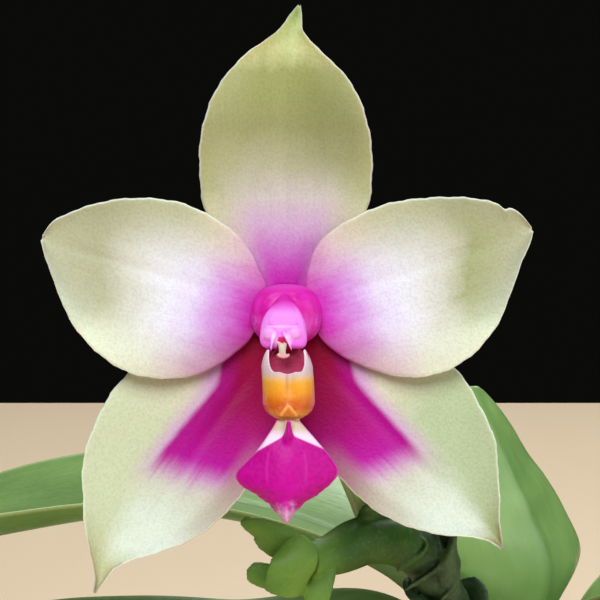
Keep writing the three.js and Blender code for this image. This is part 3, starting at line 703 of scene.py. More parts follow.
# %% Lower sepals and their stripe
def lateral_paint(name, outward, border, drift, flank_shade, tip_shade):
    """The striped lower sepal, with painted shade along its inner margin. outward is the sign of its outer
    margin.
    The stripe ends at border mm off the middle line, and that moves by drift for each mm along."""
    paint, along, across, skin, veins, cloud = blade_fields(name)
    outer = across * outward
    side = paint.attribute("side") * outward
    middle = paint.ramp(
        along + cloud * 3, (4, 224, 210, 216), (12, 220, 216, 212), (20, 206, 210, 190),
        (25, 216, 225, 210), (29, 216, 225, 208), (32, *tip_shade),
    )
    flank = paint.ramp(
        along, (4, 206, 180, 190), (10, 220, 216, 192), (16, *flank_shade), (28, *flank_shade),
        (32, *tip_shade),
    )
    shade = paint.mix((side + cloud * 0.4).fade(-0.25, 0.35), middle, flank)
    edge = outer - (along * drift + border + along.fade(9, 1) * 3.5) + cloud * 0.5
    reach = along - outer * 0.35 + (veins - 0.5) * 1.6
    glow = (edge - along.fade(11, 3) * 2.5).fade(-0.4, 2.4, 0.75, 0.0) * reach.fade(15.5, 22.5, 1.0, 0.0)
    shade = paint.over(shade, (glow, 206, 140, 210))
    stripe = edge.fade(-0.45, 0.45, 1.0, 0.0) * reach.fade(16.4, 20.7, 1.0, 0.0)
    magenta = paint.ramp(reach, (3, 146, 0, 54), (9, 156, 0, 82), (14, 178, 0, 136), (19, 188, 22, 174))
    magenta = paint.over(magenta, (edge.fade(-3.2, -0.2, 0.0, 0.8), 174, 4, 138))
    shade = paint.mix(stripe, shade, magenta)
    # Painted shade: the inner margin, from about 10 to 27 mm along, is darkened to a greyish rose.
    inner = side.fade(-0.62, -0.88) * along.fade(9.5, 13.5) * along.fade(27, 22)
    dusk = paint.ramp(
        along, (13, 172, 104, 136), (17, 170, 146, 138), (20, 182, 172, 154), (24, 194, 196, 176)
    )
    shade = paint.mix(inner * 0.9, shade, dusk)
    end = paint.attribute("margin_mm").fade(0.5, 0.1) * along.fade(30.4, 30.8)
    shade = paint.over(shade, (end * 0.7, 150, 112, 70))
    return finish_blade(paint, shade, skin, veins, colour(236, 240, 226), along.fade(8, 15))


lateral_paints = [
    lateral_paint("sepal_of_the_left", -1, 1.7, 0.08, (202, 210, 174), (192, 194, 150)),
    lateral_paint("sepal_of_the_right", 1, 1.5, -0.03, (182, 196, 156), (168, 174, 122)),
]
for name, material in zip(("sepal_left", "sepal_right"), lateral_paints):
    stand_for(blades[name], name, material)

# %% [markdown]
# ## Fleshy parts: lofts melted together
#
# The column, the lip's side lobes and the top of the spike are one thick flesh without seams. Each is
# roughed out with simple lofts and eggs that reach into each other, and a Remesh modifier with fine voxels
# melts them into one closed skin. A Smooth modifier then takes the voxel steps off. A sculptor would do
# the same by hand, but the rule gives the same result on every run.


# %% Lofts, rods and eggs
def loft(rings):
    """Closes rings of points, all of one length, into one skin with flat ends."""
    rings = np.asarray(rings)
    count, around = rings.shape[:2]
    grid = np.arange(count * around).reshape(count, around)
    faces = []
    for a, b in zip(grid, grid[1:]):
        faces += [(a[k], a[(k + 1) % around], b[(k + 1) % around], b[k]) for k in range(around)]
    faces += [tuple(grid[0][::-1]), tuple(grid[-1])]
    return rings.reshape(-1, 3), faces


def along_route(route, across):
    """Unit tangents of a route, and at each point its width, the direction nearest to across, and depth."""
    tangents = np.gradient(route, axis=0)
    tangents /= np.linalg.norm(tangents, axis=1)[:, None]
    across = np.asarray(across, float)
    wide = across - tangents * (tangents @ across)[:, None]
    wide /= np.linalg.norm(wide, axis=1)[:, None]
    return tangents, wide, np.cross(tangents, wide)


def rod(points, start, end=None, around=10, steps=24):
    """A rod along a curve. start and end are half its width and half its depth, at its two ends."""
    route = even_route(points, steps)
    wide, deep = along_route(route, (1, 0, 0))[1:]
    turn = np.linspace(0, 2 * math.pi, around, endpoint=False)[:, None]
    rings = []
    for k, point in enumerate(route):
        a, b = mix(k / (steps - 1), np.array(start), np.array(end or start))
        rings.append(point + a * np.cos(turn) * wide[k] + b * np.sin(turn) * deep[k])
    return loft(rings)


def egg(radii, centre, steps=20, around=24):
    """An ellipsoid in the flower's axes."""
    polar = np.linspace(0.04, math.pi - 0.04, steps)
    turn = np.linspace(0, 2 * math.pi, around, endpoint=False)
    ring = np.stack([np.cos(turn), np.sin(turn), 0 * turn], 1)
    rings = [ring * [math.sin(p), math.sin(p), 0] + [0, 0, -math.cos(p)] for p in polar]
    return loft(np.array(rings) * radii + centre)


pebble = egg((1, 1, 1), (0, 0, 0))
print("an egg has", len(pebble[0]), "points and", len(pebble[1]), "faces before it is melted")


# %% Melting
RELAX = 0.5


def joined(lumps):
    """Several lumps, each a pair of points and faces, as one."""
    points, faces, start = [], [], 0
    for lump_points, lump_faces in lumps:
        points.append(lump_points)
        faces += [[corner + start for corner in face] for face in lump_faces]
        start += len(lump_points)
    return np.concatenate(points), faces


def evaluated(piece):
    """A plain mesh of what a piece's modifiers make of it."""
    seen = piece.evaluated_get(bpy.context.evaluated_depsgraph_get())
    mesh = bpy.data.meshes.new_from_object(seen)
    mesh.shade_smooth()
    return mesh


def melt(name, lumps, voxel, rounds, placed=in_plant):
    """Melts overlapping closed lumps into one smooth closed skin, with voxels of that size in mm."""
    points, faces = joined(lumps)
    rough = add_object(name + "_rough", mesh_of(name, placed(points), faces))
    remesh = rough.modifiers.new("melt", "REMESH")
    remesh.mode = "VOXEL"
    remesh.voxel_size = voxel * MM
    relax = rough.modifiers.new("relax", "SMOOTH")
    relax.factor = RELAX
    relax.iterations = rounds
    mesh = evaluated(rough)
    bpy.data.objects.remove(rough)
    return add_object(name, mesh)


print("two eggs joined have", len(joined([pebble, pebble])[0]), "points")

# %% [markdown]
# ## Column
#
# The column joins the flower's male and female parts. Round its root the tissue swells into a magenta
# collar, a square with round corners. Out of it grows a pale pink hood like a bell, broad at its mouth.
# Below the hood's brim two small swellings hold the pollen, and a white tooth stands on either side of the
# opening. The cap over the pollen is its own piece.

# %% Form of the column
COLLAR = [
    # height z, share of its full outline
    (0.2, 0.9), (1.0, 0.98), (2.2, 1.0), (3.0, 0.97), (3.8, 0.89), (4.5, 0.76), (5.0, 0.55), (5.2, 0.3),
]
HOOD = [
    # height y, left and right side, front and back
    (2.6, -0.35, 0.25, 5.1, 4.0), (2.15, -0.8, 0.65, 6.0, 4.0), (1.5, -1.4, 1.2, 7.5, 4.0),
    (0.5, -2.25, 1.78, 9.05, 4.4), (-0.7, -2.72, 2.24, 10.15, 5.4), (-1.8, -2.88, 2.4, 10.65, 6.8),
    (-2.6, -2.88, 2.42, 10.75, 7.8), (-3.15, -2.6, 2.25, 10.65, 8.6), (-3.45, -2.1, 1.85, 10.4, 9.2),
]


TOOTH_ROOT = (0.36, 0.34)
TOOTH_TIP = (0.1, 0.12)
POLLEN_PAD = (0.74, 0.76, 0.5)
CAP_SHARE = 0.14
CAP_DEEP = 1.5


def hood_rings(rows, around=40):
    """Level outlines of the hood, as ovals with slightly fuller corners."""
    turn = np.linspace(0, 2 * math.pi, around, endpoint=False)
    cos, sin = np.cos(turn), np.sin(turn)
    rings = []
    for y, left, right, front, back in rows:
        x = (left + right) / 2 + (right - left) / 2 * np.sign(cos) * np.abs(cos) ** 0.9
        z = (front + back) / 2 + (front - back) / 2 * np.sign(sin) * np.abs(sin) ** 0.9
        rings.append(np.stack([x, 0 * x + y, z], 1))
    return rings


def collar_rings(around=48):
    """Outlines of the collar, a square with round corners, a little wider than it is high."""
    turn = np.linspace(0, 2 * math.pi, around, endpoint=False)
    squared = [np.sign(v) * np.abs(v) ** 0.84 for v in (np.cos(turn), np.sin(turn))]
    return [
        np.stack([0.1 + 4.1 * share * squared[0], 0.35 + 3.6 * share * squared[1], 0 * turn + z], 1)
        for z, share in COLLAR
    ]


hood_rows = curve_through(HOOD, 6)
column_lumps = [
    loft(collar_rings()),
    loft(hood_rings(hood_rows)),
    egg(POLLEN_PAD, (-1.8, -1.75, 10.42)),
    egg(POLLEN_PAD, (0.94, -1.75, 10.42)),
    rod([(-1.05, -1.5, 10.5), (-1.42, -2.3, 10.85), (-1.6, -3.0, 10.9), (-1.66, -3.7, 10.75)],
        TOOTH_ROOT, TOOTH_TIP),
    rod([(-0.25, -1.5, 10.5), (0.12, -2.3, 10.85), (0.44, -3.0, 10.9), (0.68, -3.7, 10.75)],
        TOOTH_ROOT, TOOTH_TIP),
]
column = melt("column", column_lumps, voxel=0.1, rounds=5)
print("column:", len(column_lumps), "lumps melted into", len(column.data.vertices), "points")

# %% [markdown]
# The cap lies on the hood's front, so it takes the middle part of the hood's own outlines. The pollinarium
# is what an insect carries off: two waxy masses, two thin stalks, a strap and a sticky foot.

# %% Cap and pollinarium
cap_rows = [
    (y, mix(CAP_SHARE, left, right), mix(1 - CAP_SHARE, left, right), front + 0.04, front - CAP_DEEP)
    for y, left, right, front, _ in hood_rows
    if -0.85 < y < 1.9
]
anther_cap = melt("anther_cap", [loft(hood_rings(cap_rows))], voxel=0.1, rounds=4)

POLLEN_EGG = (0.62, 0.62, 0.4)
STALK_GIRTH = (0.26, 0.22)
POLLEN_LUMPS = [
    egg(POLLEN_EGG, (-1.85, -1.75, 10.3)),
    egg(POLLEN_EGG, (0.98, -1.75, 10.3)),
    rod([(-1.5, -2.0, 10.4), (-0.95, -2.6, 10.5), (-0.4, -3.1, 10.7)], STALK_GIRTH),
    rod([(0.6, -2.0, 10.4), (0.2, -2.6, 10.5), (-0.3, -3.1, 10.7)], STALK_GIRTH),
    rod([(-0.33, -2.9, 10.75), (-0.35, -3.5, 10.95), (-0.3, -4.3, 11.0)], (0.52, 0.24), (0.34, 0.24), 12),
    rod([(-0.95, -4.1, 10.95), (-0.6, -4.3, 11.05), (-0.25, -4.38, 11.08), (0.1, -4.3, 11.05),
         (0.45, -4.1, 10.95)], (0.2, 0.2)),
]
pollinarium = melt("pollinarium", POLLEN_LUMPS, voxel=0.09, rounds=3)
print("cap and pollinarium:", len(anther_cap.data.vertices), len(pollinarium.data.vertices), "points")

# %% [markdown]
# The colours follow the flower's own axes. The hood's pink deepens upwards into the collar. The seams of its
# small parts, the crimson gap between the teeth, partly painted shade for a hollow that is not cut, and the
# sheen on the swellings are laid over it as thin shares.

# %% Colours of the column
FINE_RELIEF = 0.00005


def column_paint():
    """Magenta collar, pink hood, white teeth and a crimson gap between them, partly painted shade for a
    hollow that is not cut.
    """
    paint = flesh("column_flesh", 0.36, 0.35, 0.001, share=0.12)
    x, y, z = paint.in_flower()
    grain = paint.noise(2600, 3.0)
    clouds = paint.noise(700, 3.0)
    shade = paint.cloudy(clouds, 0.3, 0.7, (206, 8, 156), (220, 30, 180))
    cheek = x.abs().fade(2.7, 3.6) * y.fade(0.9, -0.4) * grain.fade(0.4, 0.6)
    foot = y.fade(-1.6, -3.2) * z.fade(6.0, 5.0)
    shade = paint.over(
        shade,
        (y.fade(3.0, 3.7) * 0.5, 214, 84, 196),
        (cheek * 0.65, 216, 112, 214),
        (foot * 0.7, 170, 0, 100),
    )
    pale = paint.ramp(
        y, (-3.4, 236, 96, 226), (-2.0, 240, 128, 238), (-0.7, 246, 140, 246), (0.6, 250, 146, 250),
        (1.4, 238, 84, 216), (2.1, 222, 30, 178),
    )
    hood = (z - y * 0.45).fade(4.5, 6.6)
    shade = paint.mix(hood, shade, pale)
    middle = (x + 0.45).abs()
    line = (y + 0.95).abs().fade(0.16, 0.04) * middle.fade(1.9, 1.5)
    lobes = (((x + 0.44).abs() - 1.42) ** 2 + (y + 1.75) ** 2).fade(0.8, 0.35)
    slant = (x + 0.5 + (y + 2.0) * 0.22).abs()
    # The gap's crimson is partly the stigma's colour and partly painted shade for its hollow, which the form
    # does not cut.
    gap = (slant + (y + 2.1) * 0.36).fade(0.42, 0.24) * y.fade(-1.95, -2.25)
    tooth = (slant + (y + 2.0) * 0.28 - 0.72).abs().fade(0.42, 0.2) * y.fade(-1.5, -2.2)
    shade = paint.over(
        shade,
        (line * 0.45 * hood, 255, 214, 255),
        (lobes * 0.6 * hood, 250, 176, 240),
        (gap * hood, 196, 16, 96),
        (tooth * z.fade(10.6, 10.85) * 0.8, 250, 214, 250),
    )
    return paint.finish(shade, grain, FINE_RELIEF)


def pollen_paint():
    """Pink stalks, a cream strap and a rosy foot."""
    paint = flesh("pollen_wax", 0.4, 0.5, 0.0006)
    _, y, _ = paint.in_flower()
    strap = paint.mix((y + 4.28).abs().fade(0.1, 0.4), colour(232, 150, 160), colour(206, 186, 166))
    shade = paint.mix(y.fade(-2.8, -2.4), strap, colour(240, 176, 226))
    return paint.finish(shade, paint.noise(5000, 2.0), 0.00003)


def cap_paint():
    """The hood's pink, a little paler along the brim."""
    paint = flesh("cap_wax", 0.36, 0.35, 0.001, share=0.12)
    _, y, _ = paint.in_flower()
    grain = paint.noise(2200, 3.0)
    shade = paint.ramp(
        y, (-0.9, 250, 176, 250), (-0.65, 246, 142, 246), (0.5, 252, 152, 252), (1.3, 240, 96, 222),
        (1.9, 226, 44, 186),
    )
    return paint.finish(shade.vector("SCALE", grain.fade(0.3, 0.7, 0.94, 1.0)), grain, 0.00004)


stand_for(column, "column", column_paint())
stand_for(anther_cap, "anther_cap", cap_paint())
stand_for(pollinarium, "pollinarium", pollen_paint())

# %% [markdown]
# ## Lip
#
# The third petal is the lip. Its two side lobes stand up and close round a crimson hollow: white horns,
# then yellow, then orange with a forked callus. Its mid-lobe is a fleshy magenta kite with white corners,
# a keel that fades out, edges that bend back and a pale bump at its tip.

# %% Side lobes
LOBE_HALF = 2.92
LOBE_FRONT = 12.6
LOBE_DEPTH = 3.4
LOBE_FOOT = -10.9
LOBE_RIM = -6.0
LOBE_HORN = -3.5
LOBE_WALL = 0.6
LOBE_SPREAD = [
    # height y, share of the half width
    (-10.9, 0.72), (-10.4, 0.9), (-9.6, 1.01), (-8.5, 1.0), (-5.4, 0.99), (-4.4, 0.9), (-3.5, 0.78),
]
PRONG = (0.26, 0.22)


def lobe_middle(y):
    """The lobes lean a little to the left towards their tips."""
    return mix(smooth(y, -9, LOBE_HORN), 0.36, 0.1)


def side_lobe_wall(steps=120, rise=40):
    """The standing wall of both side lobes, as rings that run up outside and down inside."""
    rings = []
    spread_at, spread = zip(*LOBE_SPREAD)
    for turn in np.radians(np.linspace(-108, 108, steps)):
        squared = [math.copysign(abs(v) ** 0.75, v) for v in (math.sin(turn), math.cos(turn))]
        away = abs(turn)
        horn = float(smooth(away, 0.42, 1.12) * (1 - smooth(away, 1.2, 1.9)))
        top = mix(horn, LOBE_RIM, LOBE_HORN) - 0.22 * math.exp(-((turn / 0.12) ** 2))
        y = mix(np.linspace(0, 1, rise), LOBE_FOOT, top)
        wide = LOBE_HALF * np.interp(y, spread_at, spread)
        thin = LOBE_WALL * (1 - 0.62 * smooth(y, top - 2.4, top - 0.3))
        groove = 0.28 * math.exp(-((turn / 0.16) ** 2)) * smooth(y, -9.6, -7.6)

        def side(inset):
            x = lobe_middle(y) + (wide - inset) * squared[0]
            z = LOBE_FRONT - inset + (LOBE_DEPTH - inset) * (squared[1] - 1) - groove
            return np.stack([x, y, z], 1)

        rings.append(np.concatenate([side(0 * y), side(thin)[::-1]]))
    return loft(rings)


lip_lumps = [
    side_lobe_wall(),
    egg((2.35, 1.35, 2.35), (0.35, -10.2, 9.7)),
    egg((2.45, 3.7, 0.6), (0.3, -6.5, 8.5)),
    egg((1.7, 0.7, 0.7), (0.36, -10.35, 12.1)),
    rod([(0.36, -9.7, 12.5), (-0.1, -10.3, 12.75), (-0.55, -10.9, 12.5)], PRONG),
    rod([(0.36, -9.7, 12.5), (0.82, -10.3, 12.75), (1.27, -10.9, 12.5)], PRONG),
    rod([(0.1, -5.4, 3.6), (0.1, -7, 5.4), (0.2, -9.8, 8)], (1.2, 1.0), around=16),
]
side_lobes = melt("lip_side_lobes", lip_lumps, voxel=0.11, rounds=3)
print("side lobes:", len(lip_lumps), "lumps melted into", len(side_lobes.data.vertices), "points")

# %% [markdown]
# The mid-lobe is a thicker blade, built as a shell in the way of the sepals. Its face swells along the
# middle, its sides bend back, and the last few millimetres of its margin are slightly ragged.

# %% Mid-lobe
MID_LOBE_TOP = -11.9
MID_LOBE_FRONT = 11.6
MID_LOBE_THICK = 1.1
MID_LOBE_EDGE = 0.7
KEEL_RISE = 1.0
SWELL_RISE = 0.5
KNOB_RISE = 0.9
EDGE_RIPPLE = 0.12
BEND_BACK = 1.5
MID_LOBE_ROWS = [
    (-0.5, -0.95, 1.5), (0.3, -1.4, 2.2), (1.2, -2, 3), (2.3, -2.75, 3.95), (3.4, -3.65, 4.9),
    (4.4, -4.7, 5.6), (5.1, -5.35, 5.9), (5.8, -5.6, 5.75), (6.5, -5.3, 5.2), (7.2, -4.4, 4.5),
    (8, -3.1, 3.35), (8.9, -1.95, 2), (9.8, -1.1, 1.2), (10.9, -0.15, 0.35),
]


def mid_lobe():
    """The kite, its left and right margins ragged beyond its widest place."""
    along, low, high = rows_between(MID_LOBE_ROWS, 110)
    ragged = smooth(along, 6.6, 7.4)
    left = 0.07 * np.sin(5.1 * along) + 0.05 * np.sin(11.3 * along + 1)
    right = 0.07 * np.sin(4.7 * along + 2) + 0.05 * np.sin(12.1 * along)
    low = low + ragged * left * np.clip(high - low, 0, 1)
    high = high + ragged * right * np.clip(high - low, 0, 1)
    across, side = across_columns(low, high, 44)
    along = along + 0 * across
    centre = across - mix(smooth(along, 0, 4), 0.35, 0.1)
    keel = KEEL_RISE * np.exp(-(centre**2) / 0.16) * (1 - smooth(along, 0.8, 2.6))
    swell = SWELL_RISE * np.exp(-(centre**2) / 5) * smooth(along, 1, 4) * (1 - smooth(along, 7, 9.5))
    knob = KNOB_RISE * np.exp(-(centre**2) / 0.9) * smooth(along, 8, 9.8)
    ripple = EDGE_RIPPLE * np.sin(2.6 * along + 5 * side) * np.abs(side) ** 2 * smooth(along, 5, 7)
    bend = BEND_BACK * side**2 * smooth(along, 1, 5)
    arch = 1.2 * np.sin(math.pi * along / 13)
    depth = MID_LOBE_FRONT + arch + keel + swell + knob + ripple - bend
    margin = margin_distance(along, across, low, high)
    half = mix(side**2, MID_LOBE_THICK, MID_LOBE_EDGE) / 2 * rounded(margin)
    spots = [np.stack([across, MID_LOBE_TOP - along, depth + sign * half], -1) for sign in (1, -1)]
    marks = {"along_mm": along, "across_mm": centre, "margin_mm": margin, "side": side}
    return add_object("lip_midlobe", shell("lip_midlobe", in_plant(spots[0]), in_plant(spots[1]), marks))


midlobe = mid_lobe()
print("mid-lobe:", len(midlobe.data.vertices), "points")


# %% Colours of the lip
def side_lobe_paint():
    """Orange foot, yellow, then white horns, with a rose hollow between the two lobes."""
    paint = flesh("side_lobe_flesh", 0.38, 0.35, 0.0008, share=0.12)
    x, y, z = paint.in_flower()
    across = x - 0.3
    grain = paint.noise(2400, 3.0)
    place = y + (grain - 0.5) * 0.5 + across.abs() * -0.1
    shade = paint.ramp(
        place, (-11.6, 232, 172, 90), (-11.0, 226, 144, 56), (-10.2, 198, 88, 20), (-9.4, 212, 108, 26),
        (-8.6, 232, 150, 30), (-7.4, 238, 168, 50), (-6.8, 226, 186, 140), (-6.4, 214, 188, 194),
        (-5.2, 226, 196, 214), (-3.6, 246, 224, 236),
    )
    flank = across.abs().fade(2.1, 2.95) * y.fade(-7.6, -9.2)
    fork = (across.abs() - 0.05 + (y + 9.75) * 0.75).abs().fade(0.42, 0.1) * y.fade(-9.5, -9.9)
    seam = (across + 0.12).abs().fade(0.3, 0.05) * y.fade(-8.8, -8.0) * z.fade(11.6, 12.0)
    shade = paint.over(
        shade,
        (flank * 0.7, 232, 130, 128),
        (fork * z.fade(12.0, 12.4) * 0.7, 244, 168, 80),
        (seam * 0.4, 190, 110, 120),
    )
    dusk = paint.ramp(y, (-9.0, 160, 20, 60), (-6.4, 214, 80, 124), (-5.2, 202, 58, 104), (-3.8, 170, 10, 72))
    hollow = z.fade(11.2, 10.6) * across.abs().fade(2.5, 2.2) * y.fade(-10.9, -10.4)
    hollow = hollow.math("MAXIMUM", z.fade(9.4, 9.0) * y.fade(-10.6, -10.0))
    shade = paint.mix(hollow, shade, dusk)
    return paint.finish(shade, grain, FINE_RELIEF)


def mid_lobe_paint():
    """Magenta with a painted highlight along its middle swell, white corners at its root and a pale bump at
    its tip.
    """
    paint = flesh("mid_lobe_flesh", 0.45, 0.15, 0.0008)
    along, across = paint.attribute("along_mm"), paint.attribute("across_mm")
    grain, cloud = paint.noise(2200, 3.0), paint.noise(900, 3.0)
    magenta = paint.cloudy(grain, 0.3, 0.7, (180, 0, 130), (198, 4, 152))
    # Painted highlight: a brighter magenta along the middle swell.
    swell_highlight = across.abs().bell(2.2) * along.fade(1.5, 4.0) * along.fade(9.5, 7.0)
    fold = (across.abs() - 2.2 + (along - 5) ** 2 * 0.06).abs().bell(0.16)
    fold = fold * along.fade(2.5, 3.5) * along.fade(7, 5.5)
    magenta = paint.over(magenta, (swell_highlight * 0.35, 206, 14, 164), (fold * 0.35, 214, 60, 180))
    slope = 0.42 + across.fade(0.3, -0.3, 0.0, 0.18)
    border = 0.95 + across.abs() * slope - across.bell(0.36) * 1.9
    white = (along - border).fade(0.14, -0.14)
    corner = paint.cloudy(along, 0.2, 1.5, (206, 184, 160), (240, 214, 244))
    tip = (along + (cloud - 0.5) * 3.0).fade(8.4, 10.0) * across.abs().fade(1.7, 0.8)
    rim = paint.attribute("margin_mm").fade(0.04, 0.25, 0.45, 0.0)
    shade = paint.mix(white, magenta, corner)
    shade = paint.over(shade, (tip * 0.8, 226, 176, 218), (rim, 232, 110, 208))
    return paint.finish(shade, grain, 0.00006)


stand_for(side_lobes, "lip_side_lobes", side_lobe_paint())
stand_for(midlobe, "lip_midlobe", mid_lobe_paint())

# %% [markdown]
# ## Trees that grow pieces
#
# What follows a path or repeats is grown by Geometry Nodes. Each tree is built here with named inputs, run
# once on a start mesh, and its result is kept as a plain mesh, because the finished piece has no live
# modifier. The inputs are set by their identifiers before the tree is first evaluated.


# %% Growing
KINDS = {float: "NodeSocketFloat", int: "NodeSocketInt", str: "NodeSocketMaterial"}


def new_tree(name, inputs):
    """A geometry tree with a start geometry and the named inputs, given with their default values."""
    tree = bpy.data.node_groups.new(name, "GeometryNodeTree")
    tree.interface.new_socket("Start", in_out="INPUT", socket_type="NodeSocketGeometry")
    for label, default in inputs.items():
        made = tree.interface.new_socket(label, in_out="INPUT", socket_type=KINDS[type(default)])
        if not isinstance(default, str):
            made.default_value = default
    tree.interface.new_socket("Grown", in_out="OUTPUT", socket_type="NodeSocketGeometry")
    entry = add_node(tree, "NodeGroupInput")
    wires = {out.name: Wire(tree, out) for out in entry.outputs if out.name}
    return tree, wires


def out_of(tree, kind, inputs=None, output=0, **settings):
    """Adds a node and returns one of its outputs as a wire."""
    return Wire(tree, add_node(tree, kind, inputs, **settings).outputs[output])


def end_tree(tree, geometry, material):
    """Realizes instances, sets the material and feeds the output."""
    solid = out_of(tree, "GeometryNodeRealizeInstances", {0: geometry})
    painted = out_of(tree, "GeometryNodeSetMaterial", {"Geometry": solid, "Material": material})
    add_node(tree, "NodeGroupOutput", {0: painted})


def grow(name, tree, settings, points=((0, 0, 0),), marks=None):
    """Runs a tree on a line of points and keeps the result as a plain object."""
    start = bpy.data.meshes.new(name)
    start.from_pydata(np.asarray(points).tolist(), [(k, k + 1) for k in range(len(points) - 1)], [])
    for mark, values in (marks or {}).items():
        kind = "FLOAT" if np.ndim(values) == 1 else "FLOAT_VECTOR"
        layer = start.attributes.new(mark, kind, "POINT")
        layer.data.foreach_set("value" if kind == "FLOAT" else "vector", np.ravel(values))
    maker = add_object(name + "_start", start)
    modifier = maker.modifiers.new("grow", "NODES")
    modifier.node_group = tree
    for item in tree.interface.items_tree:
        if item.in_out == "INPUT" and item.name in settings:
            modifier[item.identifier] = settings[item.name]
    maker.update_tag()
    mesh = evaluated(maker)
    bpy.data.objects.remove(maker)
    return add_object(name, mesh)


print("kinds of input that a tree can have:", ", ".join(kind.__name__ for kind in KINDS))

# %% [markdown]
# Two of the trees start from the same flat grid and close two faces along their border, and most of them
# store a value for the paint to read. These three steps have their own helpers.


# %% Steps that the trees share
def keep(tree, geometry, name, value, data_type="FLOAT", domain="POINT"):
    """Stores a value on the geometry under a name."""
    inputs = {"Geometry": geometry, "Name": name, "Value": value}
    return out_of(tree, "GeometryNodeStoreNamedAttribute", inputs, data_type=data_type, domain=domain)


def unit_grid(tree, size):
    """A flat grid with two fields on it, closer at their ends: side from -1 to 1 and t from 0 to 1."""
    counts = {"Size X": 1.0, "Size Y": 1.0, "Vertices X": size["Columns"], "Vertices Y": size["Rows"]}
    flat = out_of(tree, "GeometryNodeMeshGrid", counts, "Mesh")
    x, y, _ = out_of(tree, "GeometryNodeInputPosition").xyz()
    return flat, (x * math.pi).sin(), 0.5 - ((y + 0.5) * math.pi).cos() * 0.5


def close_pair(tree, faces, nearer):
    """Joins two faces and merges the points of their borders."""
    join = add_node(tree, "GeometryNodeJoinGeometry")
    for face in faces:
        feed(tree, join.inputs[0], face)
    inputs = {"Geometry": Wire(tree, join.outputs[0]), "Distance": nearer}
    return out_of(tree, "GeometryNodeMergeByDistance", inputs)


print("shared steps:", ", ".join(step.__name__ for step in (keep, unit_grid, close_pair)))


# %% [markdown]
# ## Leaves
#
# A leaf follows a rule: a midrib curve, an oval width, a sheath that clasps the stem and opens into a
# gently arched blade with a sunken midrib. One tree holds the rule, and each leaf is the same tree with its
# own sizes. The tree bends two flat grids, the upper and the lower face, and merges them along the margin.

# %% The leaf tree
LEAF_INPUTS = {
    "Aim": 0.0, "Lean": 0.0, "Width": 0.066, "Sheath turn": 1.15, "Blade turn": 0.24, "Turn by": 0.28,
    "Sheath half": 0.0, "Open from": 0.03, "Open by": 0.3, "Foot share": 0.13, "Oval lean": 1.25,
    "Oval fullness": 0.62, "Wave": 0.001, "Thickness": 0.0015, "Edge": 0.0009, "Groove": 0.0005,
    "Rows": 150, "Columns": 54, "Seed": 1.0, "Material": "",
}
LEAST_HALF = 1.1 * MM
LEAF_UNEVEN = 2 * MM
GROOVE_HALF = 1.3 * MM
KEEL_HALF = 2.2 * MM


